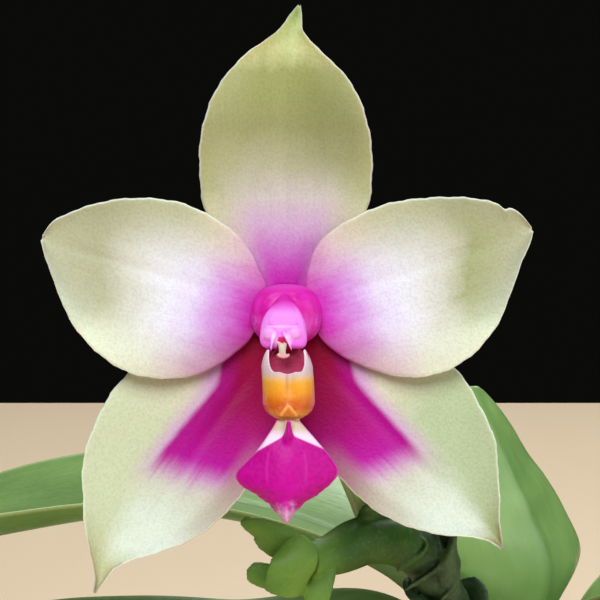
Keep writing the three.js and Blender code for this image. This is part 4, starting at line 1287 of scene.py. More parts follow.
def leaf_tree():
    """Bends a flat grid along the midrib: half is its half width, roll how far its sides turn up."""
    tree, size = new_tree("orchid leaf", LEAF_INPUTS)
    flat, side, t = unit_grid(tree, size)
    midrib = out_of(tree, "GeometryNodeMeshToCurve", {0: size["Start"]})
    sampled = add_node(
        tree, "GeometryNodeSampleCurve", {"Curves": midrib, "Factor": t}, mode="FACTOR", use_all_curves=True
    )
    centre = Wire(tree, sampled.outputs["Position"])
    tangent = Wire(tree, sampled.outputs["Tangent"])

    level = combine(size["Aim"].sin() * -1, size["Aim"].cos(), 0.0)
    lean = size["Lean"] * t.fade(0.15, 0.45)
    turned = {"Vector": level, "Axis": tangent, "Angle": lean}
    width = out_of(tree, "ShaderNodeVectorRotate", turned, rotation_type="AXIS_ANGLE")
    up = tangent.vector("CROSS_PRODUCT", width).vector("NORMALIZE")

    oval_share = (t * (1 - size["Foot share"]) + size["Foot share"]) ** size["Oval lean"]
    oval = (oval_share * math.pi).sin().math("MAXIMUM", 0.0) ** size["Oval fullness"]
    hug = centre.vector("MULTIPLY", (1, 1, 0)).vector("LENGTH")
    sheath = (size["Sheath turn"] * hug).math("MAXIMUM", size["Sheath half"])
    opened = t.fade(size["Open from"], size["Open by"])
    half = (sheath + (size["Width"] * 0.5 * oval - sheath) * opened).math("MAXIMUM", LEAST_HALF)
    roll = size["Sheath turn"] + (size["Blade turn"] - size["Sheath turn"]) * t.fade(0.0, size["Turn by"])
    turn = roll * side
    radius = half / roll

    wave = size["Wave"] * t.fade(0.3, 0.6) * side * side * (t * 9 + side * 2).sin()
    spot = combine(t * 4.5, side * 0.9, size["Seed"])
    uneven = out_of(tree, "ShaderNodeTexNoise", {"Vector": spot, "Scale": 1.0, "Detail": 1.0}) - 0.5
    rise = radius * (1 - turn.cos()) + wave + uneven * t.fade(0.15, 0.5) * LEAF_UNEVEN
    sideways = width.vector("SCALE", radius * turn.sin())
    face = centre.vector("ADD", sideways).vector("ADD", up.vector("SCALE", rise))
    inward = up.vector("SCALE", turn.cos()).vector("SUBTRACT", width.vector("SCALE", turn.sin()))

    inside = (1 - side**2) * t.fade(0.04, 0.2) * t.fade(0.97, 0.8)
    groove = (side * half).bell(GROOVE_HALF) * size["Groove"] * inside
    keel = (side * half).bell(KEEL_HALF) * size["Groove"] * 1.3 * inside
    rounding = (1 - side**10).math("MAXIMUM", 0.0) ** 0.5
    rounding = rounding * (1 - (t * 2 - 1).abs() ** 70).math("MAXIMUM", 0.0) ** 0.5
    thick = (size["Thickness"] + (size["Edge"] - size["Thickness"]) * side * side) * rounding

    flat = keep(tree, flat, "UVMap", combine(t, side * 0.5 + 0.5, 0.0), "FLOAT2", "CORNER")
    flat = keep(tree, flat, "midrib_mm", side * half / MM)
    upper_spot = face.vector("SUBTRACT", inward.vector("SCALE", groove))
    lower_spot = face.vector("SUBTRACT", inward.vector("SCALE", thick + keel))
    upper = out_of(tree, "GeometryNodeSetPosition", {"Geometry": flat, "Position": upper_spot})
    lower = out_of(tree, "GeometryNodeSetPosition", {"Geometry": flat, "Position": lower_spot})
    upper = out_of(tree, "GeometryNodeFlipFaces", {0: upper})
    end_tree(tree, close_pair(tree, (lower, upper), 1e-6), size["Material"])
    return tree


leaf_rule = leaf_tree()
print("leaf tree:", len(leaf_rule.nodes), "nodes")

# %% [markdown]
# The green is mottled, and paler at the sheath and on the thin margin. Lengthwise veins and the line of the
# midrib follow the leaf, so the tree stores how far each point lies along it and from its midrib.

# %% Leaf paint
LEAF_GREENS = {
    # age: deep and light green
    "old": ((110, 146, 80), (134, 170, 94)),
    "new": ((110, 150, 80), (150, 186, 108)),
}


def leaf_paint(age):
    """Leathery green, mottled, with lengthwise veins, a darker midrib and a thin pale margin."""
    paint = Paint("leaf_" + age, Roughness=0.4, Coat_Weight=0.14, Coat_Roughness=0.3)
    uv = out_of(paint.tree, "ShaderNodeUVMap", uv_map="UVMap")
    t, share, _ = uv.xyz()
    side = share * 2 - 1
    offset = paint.attribute("midrib_mm")
    blotch = paint.noise(45, 4.0)
    cells = paint.noise(900, 2.0)
    veins = paint.noise(1.0, 2.0, where=combine(t * 5, offset * 0.9, 0.0))
    shade = paint.over(
        paint.cloudy(blotch, 0.3, 0.7, *LEAF_GREENS[age]),
        (t.fade(0.25, 0.0, 0.0, 0.55), 150, 176, 104),
        ((veins - 0.5).abs() * 0.3, 164, 194, 124),
        (offset.bell(0.9) * 0.45, 84, 124, 60),
        (side.abs().fade(0.965, 0.995) * 0.7, 176, 200, 140),
    )
    relief = veins * 0.35 + cells * 0.15 + blotch * 0.4
    return paint.finish(shade, relief, 0.00025, cells.fade(0.3, 0.7, 0.28, 0.4))


old_leaf, new_leaf = leaf_paint("old"), leaf_paint("new")
print("leaf paints:", old_leaf.name, new_leaf.name)

# %% [markdown]
# Each old leaf's path gives the distance from the stem's axis and the height of its upper face along the
# midrib. The youngest leaf stands half folded in the middle, and its path is given in x, y and z.

# %% The four old leaves
LEAVES = {
    "leaf_upper_left": dict(
        aim=180, width=66, lean=4.5, wave=1.0,
        path=[(6.25, 94), (7.2, 102), (12, 114), (24, 124.5), (38, 130), (53, 132), (75, 129.5),
              (100, 122), (124, 110), (146, 95)],
    ),
    "leaf_upper_right": dict(
        aim=-20, width=62, lean=-4, wave=1.0,
        path=[(6.25, 94), (7.2, 101), (12, 112), (24, 122), (40, 126.5), (60, 127), (82, 122.5),
              (104, 113), (126, 99)],
    ),
    "leaf_lower_left": dict(
        aim=172, width=72, lean=-2, wave=1.5,
        path=[(6.25, 87.2), (8.6, 91.4), (11.2, 96), (18, 99.5), (38, 102), (64, 101), (94, 95),
              (124, 83), (150, 67), (166, 53)],
    ),
    "leaf_lower_right": dict(
        aim=11, width=70, lean=2, wave=1.3,
        path=[(6.25, 87.2), (8.6, 91.4), (11.2, 95.6), (19, 98.5), (40, 100), (66, 98.5), (96, 91),
              (124, 78), (148, 62), (162, 47)],
    ),
}
for number, (name, leaf) in enumerate(LEAVES.items()):
    aim = math.radians(leaf["aim"])
    path = [(out * math.cos(aim), out * math.sin(aim), height) for out, height in leaf["path"]]
    settings = {
        "Aim": aim, "Lean": math.radians(leaf["lean"]), "Width": leaf["width"] * MM,
        "Wave": leaf["wave"] * MM, "Seed": 3.7 * number, "Material": old_leaf,
    }
    piece = grow(name, leaf_rule, settings, even_route(path, 240) * MM)
    stand_for(piece, name)

# %% The young leaf
YOUNG_PATH = [
    (0.5, 0, 104.6), (1.8, 0.2, 112), (3.3, 0.5, 121), (0.4, 1.5, 129), (-3.6, 3, 138), (-7.5, 5.5, 148),
]
young_settings = {
    "Aim": math.radians(-52), "Width": 28 * MM, "Sheath turn": 1.1, "Blade turn": 0.75, "Turn by": 0.5,
    "Sheath half": 3.6 * MM, "Open from": 0.02, "Open by": 0.4, "Foot share": 0.12, "Oval lean": 1.0,
    "Oval fullness": 0.7, "Wave": 0.0, "Thickness": 1.2 * MM, "Edge": 0.8 * MM, "Rows": 100,
    "Material": new_leaf,
}
young = grow("leaf_young", leaf_rule, young_settings, even_route(YOUNG_PATH, 200) * MM)
stand_for(young, "leaf_young")

# %% [markdown]
# ## Cords: roots, spike and pedicel
#
# Roots, the flower's stalk and the spike all follow a path, each with its own girth along it. One tree
# sweeps a circle along the path, scaled by the girth kept at each point, adds ribs where they are wanted,
# and lets the skin swell and shrink a little, as grown tissue does.

# %% The cord tree
CORD_INPUTS = {
    "Sides": 28, "Ribs": 0.0, "Rib depth": 0.0, "Swell": 0.0002, "Swell scale": 180.0, "Seed": 0.0,
    "Material": "",
}


def cord_tree():
    """Sweeps a circle along a line of points, each with its girth, then adds ribs and swelling."""
    tree, size = new_tree("fleshy cord", CORD_INPUTS)
    line = out_of(tree, "GeometryNodeMeshToCurve", {0: size["Start"]})
    factor = out_of(tree, "GeometryNodeSplineParameter")
    line = keep(tree, line, "along", factor)
    ring = out_of(tree, "GeometryNodeCurvePrimitiveCircle", {"Resolution": size["Sides"], "Radius": 1.0})
    ring = keep(tree, ring, "turn", factor)
    girth = out_of(tree, "GeometryNodeInputNamedAttribute", {"Name": "girth"})
    swept = {"Curve": line, "Profile Curve": ring, "Scale": girth, "Fill Caps": True}
    tube = out_of(tree, "GeometryNodeCurveToMesh", swept)
    turn = out_of(tree, "GeometryNodeInputNamedAttribute", {"Name": "turn"})
    x, y, z = out_of(tree, "GeometryNodeInputPosition").xyz()
    spot = combine(x + size["Seed"], y, z)
    noise = {"Vector": spot, "Scale": size["Swell scale"], "Detail": 2.0}
    swell = (out_of(tree, "ShaderNodeTexNoise", noise) - 0.5) * size["Swell"]
    ribs = (turn * size["Ribs"] * (2 * math.pi)).cos() * size["Rib depth"]
    normal = out_of(tree, "GeometryNodeInputNormal")
    offset = normal.vector("SCALE", swell + ribs)
    skin = out_of(tree, "GeometryNodeSetPosition", {"Geometry": tube, "Offset": offset})
    end_tree(tree, skin, size["Material"])
    return tree


cord_rule = cord_tree()
print("cord tree:", len(cord_rule.nodes), "nodes")

# %% [markdown]
# Roots of this plant are as thick as a pencil. Their outer skin is a silvery sponge that shows green where
# it is damp, and a growing tip is bright green. They leave the stem just above the bark; one climbs over
# the rim of the pot.

# %% Roots
ROOT_RADIUS = 2.7
ROOT_STEPS = 150
ROOTS = {
    # name: way it leaves the stem in degrees, then distance out, sideways and height
    "root_over_rim": (-50, [
        (6.65, 0, 83), (15, 0.5, 85), (28, 2, 91), (41, 3, 97), (51, 2, 99.5), (57, 1, 99.3),
        (62.9, 0.5, 95.9), (65.6, 0.5, 87), (65.6, 2, 74), (64.5, 4, 60), (62, 4.5, 47),
    ]),
    "root_front_left": (218, [(6.65, 0, 82.5), (16, -1, 84), (27, -4, 85), (35, -4, 80), (37.5, -3, 69)]),
    "root_back_left": (168, [(6.65, 0, 82.5), (17, 2, 84.5), (29, 3, 86), (37, 2, 80), (39, 1, 69)]),
    "root_back_right": (118, [(6.65, 0, 82), (16, -2, 84), (27, -3, 84.5), (35, -1, 79), (38, 0, 69)]),
    "root_aerial": (68, [
        (6.65, 0, 83.5), (17, 1, 86), (32, 3, 92), (46, 2, 98), (60, -3, 101.5), (72, -8, 100.5),
    ]),
}


def root_paint():
    """Silvery sponge over green, with a bright green growing tip that ends brown."""
    paint = Paint("root_skin", Roughness=0.75)
    along = paint.attribute("along")
    patches, fibres = paint.noise(160, 4.0), paint.noise(1500, 3.0)
    shade = paint.over(
        paint.cloudy(patches, 0.35, 0.65, (186, 190, 172), (146, 158, 124)),
        (fibres.fade(0.5, 0.8, 0.0, 0.5), 210, 210, 198),
        (along.fade(0.9, 0.955), 120, 158, 70),
        (along.fade(0.975, 1.0), 158, 120, 70),
    )
    return paint.finish(shade, fibres + patches, 0.0003)


root_skin = root_paint()
share = np.linspace(0, 1, ROOT_STEPS)
root_girth = ROOT_RADIUS * np.sqrt(np.maximum(0.002, 1 - np.clip((share - 0.94) / 0.06, 0, 1) ** 2))
for name, (aim, path) in ROOTS.items():
    cos, sin = math.cos(math.radians(aim)), math.sin(math.radians(aim))
    path = [(out * cos - side * sin, out * sin + side * cos, z) for out, side, z in path]
    route = even_route(path, ROOT_STEPS)
    settings = {"Swell": 0.7 * MM, "Swell scale": 140.0, "Seed": aim * 0.01, "Material": root_skin}
    piece = grow(name, cord_rule, settings, route * MM, {"girth": root_girth * MM})
    stand_for(piece, name)

# %% [markdown]
# The pedicel carries the one open flower. Its upper half is the ovary, with six shallow ribs, and it
# widens into a disc that the sepals and petals stand on.

# %% Pedicel
PEDICEL_STEPS = 160
PEDICEL_ROUTE = [
    (9.9, -23.8, -14.5), (7.6, -18, -15.2), (4.6, -11, -14), (1.5, -4, -10), (0.1, -0.3, -5.5), (0, 0, -3),
    (0, 0, -1.2),
]


def green_paint(name, deep, light, pale, along_fade=None):
    """Fleshy green skin: cloudy, with a soft bloom of wax and fine pits. It may turn pale along its way."""
    paint = flesh(name, 0.38, 0.5, 0.001, share=0.06, Coat_Weight=0.12)
    clouds, pits = paint.noise(130, 3.0), paint.noise(2200, 2.0)
    shade = paint.cloudy(clouds, 0.35, 0.65, deep, light)
    if along_fade:
        shade = paint.over(shade, (paint.attribute("along").fade(*along_fade), *pale))
    shade = paint.over(shade, (pits.fade(0.55, 0.8, 0.0, 0.3), *pale))
    return paint.finish(shade, pits * 0.4 + clouds, 0.00012, pits.fade(0.3, 0.8, 0.3, 0.45))


pedicel_route = even_route(in_plant(PEDICEL_ROUTE), PEDICEL_STEPS)
share = np.linspace(0, 1, PEDICEL_STEPS)
pedicel_girth = mix(smooth(share, 0, 0.7), 1.35, 1.85)
pedicel_girth = mix(smooth(share, 0.9, 1.0), pedicel_girth, 4.1)
pedicel_green = green_paint(
    "pedicel_green", (112, 150, 74), (144, 176, 100), (226, 226, 196), along_fade=(0.55, 1.0)
)
settings = {"Ribs": 6.0, "Rib depth": 0.14 * MM, "Swell": 0.2 * MM, "Sides": 48, "Material": pedicel_green}
pedicel = grow("pedicel", cord_rule, settings, pedicel_route, {"girth": pedicel_girth * MM})
stand_for(pedicel, "pedicel")

# %% [markdown]
# ## Flower spike
#
# The spike leaves the stem between the leaf sheaths and ends in a thick fleshy zigzag where new buds form.
# Old bracts clasp it, alternating from side to side, so a tree puts one unit bract on each of a few points.
# The young tongues at the top are lofted, and the whole spike is melted into one skin. Its lower part is
# given in the plant's axes and its upper part, which the photo shows, in the flower's own.

# %% The bract tree
BRACT_INPUTS = {"Reach": 1.7, "Narrow": 0.45, "Skin": 0.22, "Columns": 24, "Rows": 24, "Material": ""}


def bract_tree():
    """A unit bract stands on every point: rise points up the stalk, facing away from it."""
    tree, size = new_tree("clasping bract", BRACT_INPUTS)
    flat, side, t = unit_grid(tree, size)
    reach = size["Reach"] + (size["Narrow"] - size["Reach"]) * t**2.2
    turn = side * reach
    skin = ((1 - side**6).math("MAXIMUM", 0.0) * (1 - (t * 2 - 1).abs() ** 12).math("MAXIMUM", 0.0)) ** 0.5

    def face(sign):
        out = 1.08 + t * t * 0.7 + skin * size["Skin"] * sign
        spot = combine(out * turn.cos(), out * turn.sin(), t)
        return out_of(tree, "GeometryNodeSetPosition", {"Geometry": flat, "Position": spot})

    unit = close_pair(tree, (out_of(tree, "GeometryNodeFlipFaces", {0: face(-1)}), face(1)), 1e-4)
    marks = {
        name: out_of(tree, "GeometryNodeInputNamedAttribute", {"Name": name}, data_type="FLOAT_VECTOR")
        for name in ("rise", "facing", "bract_size")
    }
    axes = {"Primary Axis": marks["rise"], "Secondary Axis": marks["facing"]}
    turned = out_of(tree, "FunctionNodeAxesToRotation", axes, primary_axis="Z", secondary_axis="X")
    spread = {"Points": size["Start"], "Instance": unit, "Rotation": turned, "Scale": marks["bract_size"]}
    end_tree(tree, out_of(tree, "GeometryNodeInstanceOnPoints", spread), size["Material"])
    return tree


bract_rule = bract_tree()
print("bract tree:", len(bract_rule.nodes), "nodes")

# %% Spike stalk and its old bracts
SPIKE_STEPS = 400
STALK_ROUTE = [
    (0, -6.65, 88.3), (-1.5, -16, 90), (-4, -27, 94.5), (-8, -39, 102), (-11.5, -51, 112), (-13.5, -61, 122),
]
ZIGZAG_ROUTE = [(20.5, -35.5, -25), (15.9, -28.8, -20), (10, -27, -14), (5.6, -28.4, -10.5), (2.6, -29, -8)]
BRACT_PLACES = np.array([0.24, 0.47, 0.62, 0.66, 0.7, 0.74, 0.785])
LONG_BRACTS = 2
LONG_BRACT = 8.5
SHORT_BRACT = 5.4
NODE_SWELL = 0.3

spike_route = even_route([*np.array(STALK_ROUTE) * MM, *in_plant(ZIGZAG_ROUTE)], SPIKE_STEPS)
share = np.linspace(0, 1, SPIKE_STEPS)
spike_girth = mix(smooth(share, 0.72, 0.84), 2.2, 2.95) * mix(smooth(share, 0.93, 1), 1, 0.72)
swollen = sum(np.exp(-(((share - place) / 0.012) ** 2)) for place in BRACT_PLACES)
spike_girth = (spike_girth + NODE_SWELL * swollen) * MM
stalk_settings = {"Swell": 0.3 * MM, "Sides": 36}
stalk = grow("spike_stalk", cord_rule, stalk_settings, spike_route, {"girth": spike_girth})

spots = (BRACT_PLACES * (SPIKE_STEPS - 1)).astype(int)
number = np.arange(len(spots))
tangents, wide, deep = (axis[spots] for axis in along_route(spike_route, (1, 0, 0)))
turn = np.radians(np.where(number % 2, 200, 20))[:, None]
lengths = np.where(number < LONG_BRACTS, LONG_BRACT, SHORT_BRACT) * MM
marks = {
    "rise": tangents,
    "facing": wide * np.cos(turn) + deep * np.sin(turn),
    "bract_size": np.stack([spike_girth[spots], spike_girth[spots], lengths], 1),
}
bracts = grow("old_bracts", bract_rule, {}, spike_route[spots], marks)
print("old bracts:", len(spots), "from", BRACT_PLACES[0], "to", BRACT_PLACES[-1], "of the spike")

# %% [markdown]
# The young bracts at the top are thick tongues that overlap like scales. Three point to the left, a broad
# shell faces the viewer and one hangs below it. Another sits in the bend of the spike, and three old ones
# cross the stalk behind it like crescents.

# %% The fleshy top
def tongue(base, middle, tip, across, half_width, thick, blunt=2.0, steps=28, around=24):
    """A fleshy tongue from its sunken base to its tip. It is pointed at blunt 2 and rounder above that."""
    route = even_route([base, middle, tip], steps)
    wide, deep = along_route(route, across)[1:]
    turn = np.linspace(0, 2 * math.pi, around, endpoint=False)[:, None]
    rings = []
    for k, point in enumerate(route):
        t = k / (steps - 1)
        half = half_width * math.sqrt(max(0.02, 1 - (abs(t - 0.4) / 0.605) ** blunt))
        cup = 0.22 * half_width * np.cos(turn) ** 2
        depth = thick / 2 * math.sqrt(max(0.1, 1 - t**4))
        rings.append(point + half * np.cos(turn) * wide[k] + (depth * np.sin(turn) + cup) * deep[k])
    return loft(rings)


TOP_LUMPS = [
    # three that point to the left
    tongue((4.0, -27.9, -9.6), (-0.6, -26.0, -8.0), (-5.4, -24.1, -6.8), (0.3, 0.92, 0.25), 1.55, 1.2, 2.8),
    tongue((3.0, -28.6, -9.2), (-0.4, -27.7, -8.2), (-3.75, -26.2, -7.4), (0.25, 0.95, 0.2), 1.45, 1.1),
    tongue((2.0, -30.6, -8.6), (-1.4, -30.9, -7.6), (-4.7, -30.0, -7.0), (0.2, 1, 0.15), 1.65, 1.1, 5.0),
    # the one that hangs, and the one in the bend
    tongue((5.0, -28.4, -9.6), (4.1, -31.6, -8.4), (3.5, -35.2, -7.6), (1, 0.15, 0.2), 1.85, 1.7, 3.0),
    tongue((12.6, -28.6, -16.4), (11.2, -25.2, -14.6), (9.6, -22.6, -11.2), (0.8, 0.5, -0.3), 2.4, 1.3),
    # three old ones across the stalk
    tongue((14.2, -25.6, -19.0), (17.2, -28.2, -17.4), (13.4, -31.2, -16.2), (0.2, 0.25, 0.95), 1.6, 0.8),
    tongue((18.4, -26.2, -21.0), (19.0, -30.4, -19.4), (14.6, -33.6, -18.0), (0.25, 0.2, 0.95), 1.7, 0.8),
    tongue((20.4, -29.0, -23.0), (21.2, -32.4, -21.6), (18.6, -35.8, -20.4), (0.3, 0.15, 0.95), 1.7, 0.8),
    # the shell in front
    tongue((-0.2, -32.9, -6.6), (0.9, -29.2, -5.1), (2.1, -25.7, -6.4), (0.93, 0.37, 0), 2.75, 1.5, 3.2),
]


def mesh_lump(piece):
    """A grown piece as a lump for melting. The piece itself is removed."""
    points = np.empty(len(piece.data.vertices) * 3)
    piece.data.vertices.foreach_get("co", points)
    faces = [tuple(face.vertices) for face in piece.data.polygons]
    bpy.data.objects.remove(piece)
    return points.reshape(-1, 3), faces


top = [(in_plant(points), faces) for points, faces in TOP_LUMPS]
spike_lumps = [mesh_lump(stalk), mesh_lump(bracts), *top]
spike = melt("flower_spike", spike_lumps, voxel=0.26, rounds=3, placed=np.asarray)
print("spike:", len(spike_lumps), "lumps melted into", len(spike.data.vertices), "points")


# %% Spike skin
def spike_paint():
    """Old bracts are dull and dark, the zigzag a deep green, partly painted shade, and the young top a fresh
    one.
    """
    paint = flesh("spike_skin", 0.5, 0.3, 0.001, share=0.06)
    x, _, z = paint.in_flower()
    clouds, pits = paint.noise(220, 3.0), paint.noise(2200, 2.0)
    old = paint.cloudy(clouds, 0.35, 0.65, (44, 66, 42), (68, 94, 60))
    # The zigzag's deep green is partly its own colour and partly painted shade, darker away from the young
    # top.
    body = paint.cloudy(clouds, 0.3, 0.7, (38, 74, 16), (56, 98, 28))
    young = paint.cloudy(clouds, 0.3, 0.7, (90, 134, 48), (112, 150, 60))
    reach = z + (clouds - 0.5) * 2
    shade = paint.mix(reach.fade(-19, -14.5), old, body)
    shade = paint.mix((x + (clouds - 0.5) * 2).fade(8.4, 3.6), shade, young)
    shade = paint.over(shade, (pits.fade(0.5, 0.8, 0.0, 0.14), 160, 190, 112))
    return paint.finish(shade, pits * 0.4 + clouds, 0.0001, pits.fade(0.3, 0.8, 0.44, 0.56))


stand_for(spike, "flower_spike", spike_paint())

# %% [markdown]
# ## Turned pieces: pot and stem
#
# The pot is thrown on a wheel, so half its profile, turned round the axis, is the whole form. A Bevel
# modifier eases its edges, and a Boolean opens the four drain holes. The fired clay shows faint turning
# rings, pale mineral bloom near the foot and darker damp patches. The short stem is turned in the same way,
# with the rings that old leaves left.


# %% The turning wheel
def turned_form(profile, sides):
    """Points and faces of a closed turned form. The profile's (radius, height) ends lie on the axis."""
    turn = np.linspace(0, 2 * math.pi, sides, endpoint=False)
    points = [(0, 0, profile[0][1]), (0, 0, profile[-1][1])]
    for radius, height in profile[1:-1]:
        points += [(radius * math.cos(a), radius * math.sin(a), height) for a in turn]
    rings = np.arange((len(profile) - 2) * sides).reshape(-1, sides) + 2
    faces = [(0, rings[0][(k + 1) % sides], rings[0][k]) for k in range(sides)]
    faces += [(1, rings[-1][k], rings[-1][(k + 1) % sides]) for k in range(sides)]
    for a, b in zip(rings, rings[1:]):
        faces += [(a[k], a[(k + 1) % sides], b[(k + 1) % sides], b[k]) for k in range(sides)]
    return np.array(points), faces


def lump_object(name, points, faces):
    """An object from points in mm."""
    return add_object(name, mesh_of(name, points * MM, faces))


def apply_modifiers(piece):
    """Replaces a piece's mesh by what its modifiers make of it."""
    mesh = evaluated(piece)
    piece.modifiers.clear()
    piece.data = mesh


print("a turned cone with 8 sides has", len(turned_form([(0, 0), (1, 0), (0, 1)], 8)[0]), "points")


# %% Pot
POT_PROFILE = [
    (0, 0), (39.5, 0), (41, 1.5), (54, 75), (59, 75.8), (60.5, 92.5), (58.5, 95), (53.5, 95), (52, 93.5),
    (36, 9), (32, 5), (0, 5),
]
POT_SIDES = 120
POT_EASE = 0.9
DRAINS = 4
DRAIN_RADIUS = 5.5
DRAIN_RING = 22
DRILL_FROM = -5
DRILL_TO = 12

pot = lump_object("pot", *turned_form(POT_PROFILE, POT_SIDES))
drill_profile = [(0, DRILL_FROM), (DRAIN_RADIUS, DRILL_FROM), (DRAIN_RADIUS, DRILL_TO), (0, DRILL_TO)]
drill_points, drill_faces = turned_form(drill_profile, 32)
drills = []
for k in range(DRAINS):
    turn = math.radians(45) + 2 * math.pi * k / DRAINS
    aside = np.array([DRAIN_RING * math.cos(turn), DRAIN_RING * math.sin(turn), 0])
    drills.append((drill_points + aside, drill_faces))
cutter = lump_object("drills", *joined(drills))
cut = pot.modifiers.new("drain", "BOOLEAN")
cut.object = cutter
cut.solver = "EXACT"
apply_modifiers(pot)
bpy.data.objects.remove(cutter)
ease = pot.modifiers.new("ease", "BEVEL")
ease.width = POT_EASE * MM
ease.segments = 3
ease.limit_method = "ANGLE"
ease.angle_limit = math.radians(25)
apply_modifiers(pot)
print("pot:", DRAINS, "drains, lowest point", round(min(v.co.z for v in pot.data.vertices), 4))


# %% Clay and stem
def clay_paint():
    """Fired clay: turning rings, damp patches, a mineral bloom near the foot and dark specks."""
    paint = Paint("fired_clay", Roughness=0.85)
    x, y, z = paint.place.xyz()
    rings = paint.noise(1.0, 3.0, where=combine(x * 3, y * 3, z * 620))
    dust, patches, speck = paint.noise(700, 4.0), paint.noise(22, 5.0), paint.cells(420)
    bloom = (patches + dust * 0.4).fade(0.62, 0.95) * z.fade(0.055, 0.0)
    shade = paint.over(
        paint.cloudy(patches, 0.35, 0.65, (196, 112, 76), (172, 92, 60)),
        (rings.fade(0.4, 0.7, 0.0, 0.35), 208, 130, 92),
        (bloom * 0.6, 226, 206, 186),
        (speck.fade(0.12, 0.05) * 0.5, 120, 60, 42),
    )
    return paint.finish(shade, rings * 0.8 + dust * 0.5, 0.00035, dust.fade(0.3, 0.7, 0.78, 0.92))


STEM_FOOT = 66
STEM_TOP = 104
STEM_RADIUS = 5.75
SCAR_DEPTH = 0.35


def stem_profile():
    """The stem's skin with the shallow rings of old leaf scars."""
    heights = np.linspace(STEM_FOOT + 0.6, STEM_TOP - 0.6, 90)
    scars = SCAR_DEPTH * np.abs(np.sin((heights - STEM_FOOT) * 0.62)) ** 6
    ends = np.clip(np.minimum(heights - STEM_FOOT, STEM_TOP - heights) / 3.2, 0, 1)
    radius = STEM_RADIUS * mix(0.35, 1, np.sqrt(1 - (1 - ends) ** 2)) - scars
    return [(0, STEM_FOOT), *zip(radius, heights), (0, STEM_TOP)]


stem = lump_object("stem", *turned_form(stem_profile(), 48))
stem_green = green_paint("stem_green", (88, 122, 60), (124, 154, 82), (178, 184, 130))
stand_for(pot, "pot", clay_paint())
stand_for(stem, "stem", stem_green)

# %% [markdown]
# ## Bark
#
# Orchids are potted in bark, not soil. The medium has settled into one bed, with chips of all sizes lying
# across its top. A tree lays the chips out on a sunflower spiral, which spreads them evenly, turns each one
# by a seeded draw and roughens it, so no two are alike. The bed below fills the pot.

# %% The chip tree
CHIP_RAGGED = 2.2 * MM
BARK_INPUTS = {
    "Count": 230, "Reach": 0.046, "Length": 0.013, "Breadth": 0.008, "Depth": 0.0036, "Spread": 0.45,
    "Tilt": 0.38, "Level": 0.0785, "Keep clear": 0.0105, "Seed": 5, "Material": "",
}


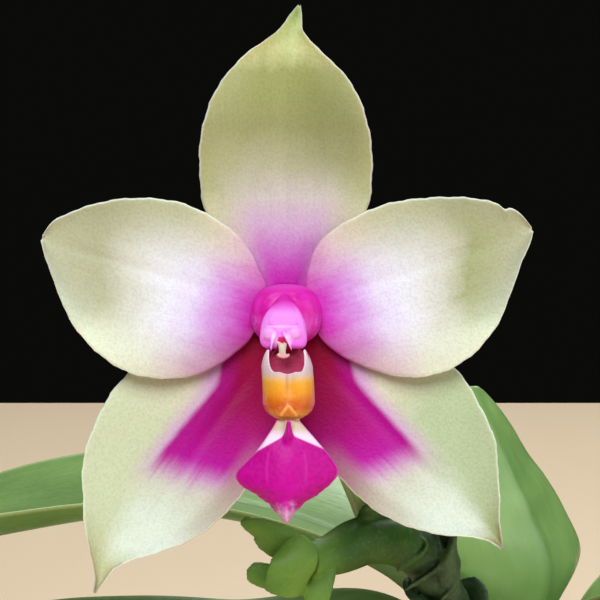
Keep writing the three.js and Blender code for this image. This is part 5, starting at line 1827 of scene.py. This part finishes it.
def bark_tree():
    """Lays chips out on a sunflower spiral, turns and sizes each by a draw, and roughens them."""
    tree, size = new_tree("bark chips", BARK_INPUTS)
    index = out_of(tree, "GeometryNodeInputIndex")
    reach = ((index + 0.6) / size["Count"]) ** 0.5 * (size["Reach"] - size["Keep clear"]) + size["Keep clear"]
    turn = index * (math.pi * (3 - math.sqrt(5)))

    def draw(low, high, number):
        inputs = {2: low, 3: high, "Seed": size["Seed"] * 10 + number}
        return out_of(tree, "FunctionNodeRandomValue", inputs, output=1, data_type="FLOAT")

    level = size["Level"] + draw(-0.0012, 0.0014, 1)
    spot = combine(reach * turn.cos(), reach * turn.sin(), level)
    points = out_of(tree, "GeometryNodePoints", {"Count": size["Count"], "Position": spot})
    block = add_node(
        tree, "GeometryNodeMeshCube", {"Size": (1, 1, 1), "Vertices X": 5, "Vertices Y": 4, "Vertices Z": 3}
    )
    block = {"Mesh": Wire(tree, block.outputs[0]), "Level": 1, "Edge Crease": 0.55}
    rough = out_of(tree, "GeometryNodeSubdivisionSurface", block)
    lean = [size["Tilt"] * draw(-1.0, 1.0, 2), size["Tilt"] * draw(-1.0, 1.0, 3), draw(0.0, math.pi, 4)]
    rotation = out_of(tree, "FunctionNodeEulerToRotation", {0: combine(*lean)})
    scale = combine(
        size["Length"] * draw(1 - 0.45, 1 + 0.45, 5),
        size["Breadth"] * draw(1 - 0.4, 1 + 0.4, 6),
        size["Depth"] * draw(0.7, 1.3, 7),
    )
    laid = {"Points": points, "Instance": rough, "Rotation": rotation, "Scale": scale}
    chips = out_of(tree, "GeometryNodeInstanceOnPoints", laid)
    chips = out_of(tree, "GeometryNodeRealizeInstances", {0: chips})
    place = out_of(tree, "GeometryNodeInputPosition")
    ragged = {"Vector": place, "Scale": 260.0, "Detail": 3.0}
    lift = (out_of(tree, "ShaderNodeTexNoise", ragged) - 0.5) * CHIP_RAGGED
    offset = out_of(tree, "GeometryNodeInputNormal").vector("SCALE", lift)
    chips = out_of(tree, "GeometryNodeSetPosition", {"Geometry": chips, "Offset": offset})
    end_tree(tree, chips, size["Material"])
    return tree


bark_rule = bark_tree()
print("chip tree:", len(bark_rule.nodes), "nodes")


# %% Bark bed
BED_FOOT = 5.35
BED_TOP = 78


def bark_paint():
    """Red-brown bark with a lighter grain and dust on it."""
    paint = Paint("pine_bark", Roughness=0.9)
    patches, dust = paint.noise(90, 4.0), paint.noise(1800, 2.0)
    grain = paint.noise(420, 5.0, (1, 1, 2.5))
    shade = paint.over(
        paint.cloudy(patches, 0.35, 0.65, (72, 46, 32), (124, 84, 56)),
        (grain.fade(0.45, 0.7, 0.0, 0.7), 150, 108, 76),
        (dust.fade(0.6, 0.8, 0.0, 0.4), 186, 152, 120),
    )
    return paint.finish(shade, grain + dust * 0.3, 0.0006)


bark_skin = bark_paint()
chips = grow("bark_chips", bark_rule, {"Material": bark_skin})
bed_profile = [(0, BED_FOOT), (31.5, BED_FOOT), (35.2, 9.2), (48.4, BED_TOP), (0, BED_TOP - 0.4)]
bed = lump_object("bark_bed", *turned_form(bed_profile, 96))
bed.data.materials.append(bark_skin)
both = [bed, chips]
with bpy.context.temp_override(
    object=bed, active_object=bed, selected_objects=both, selected_editable_objects=both
):
    bpy.ops.object.join()
bed.name = "bark_medium"
stand_for(bed, "bark_medium")

# %% Finish
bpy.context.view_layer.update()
triangles = sum(len(p.vertices) - 2 for o in bpy.data.objects if o.type == "MESH" for p in o.data.polygons)
print("triangles in the file:", triangles)
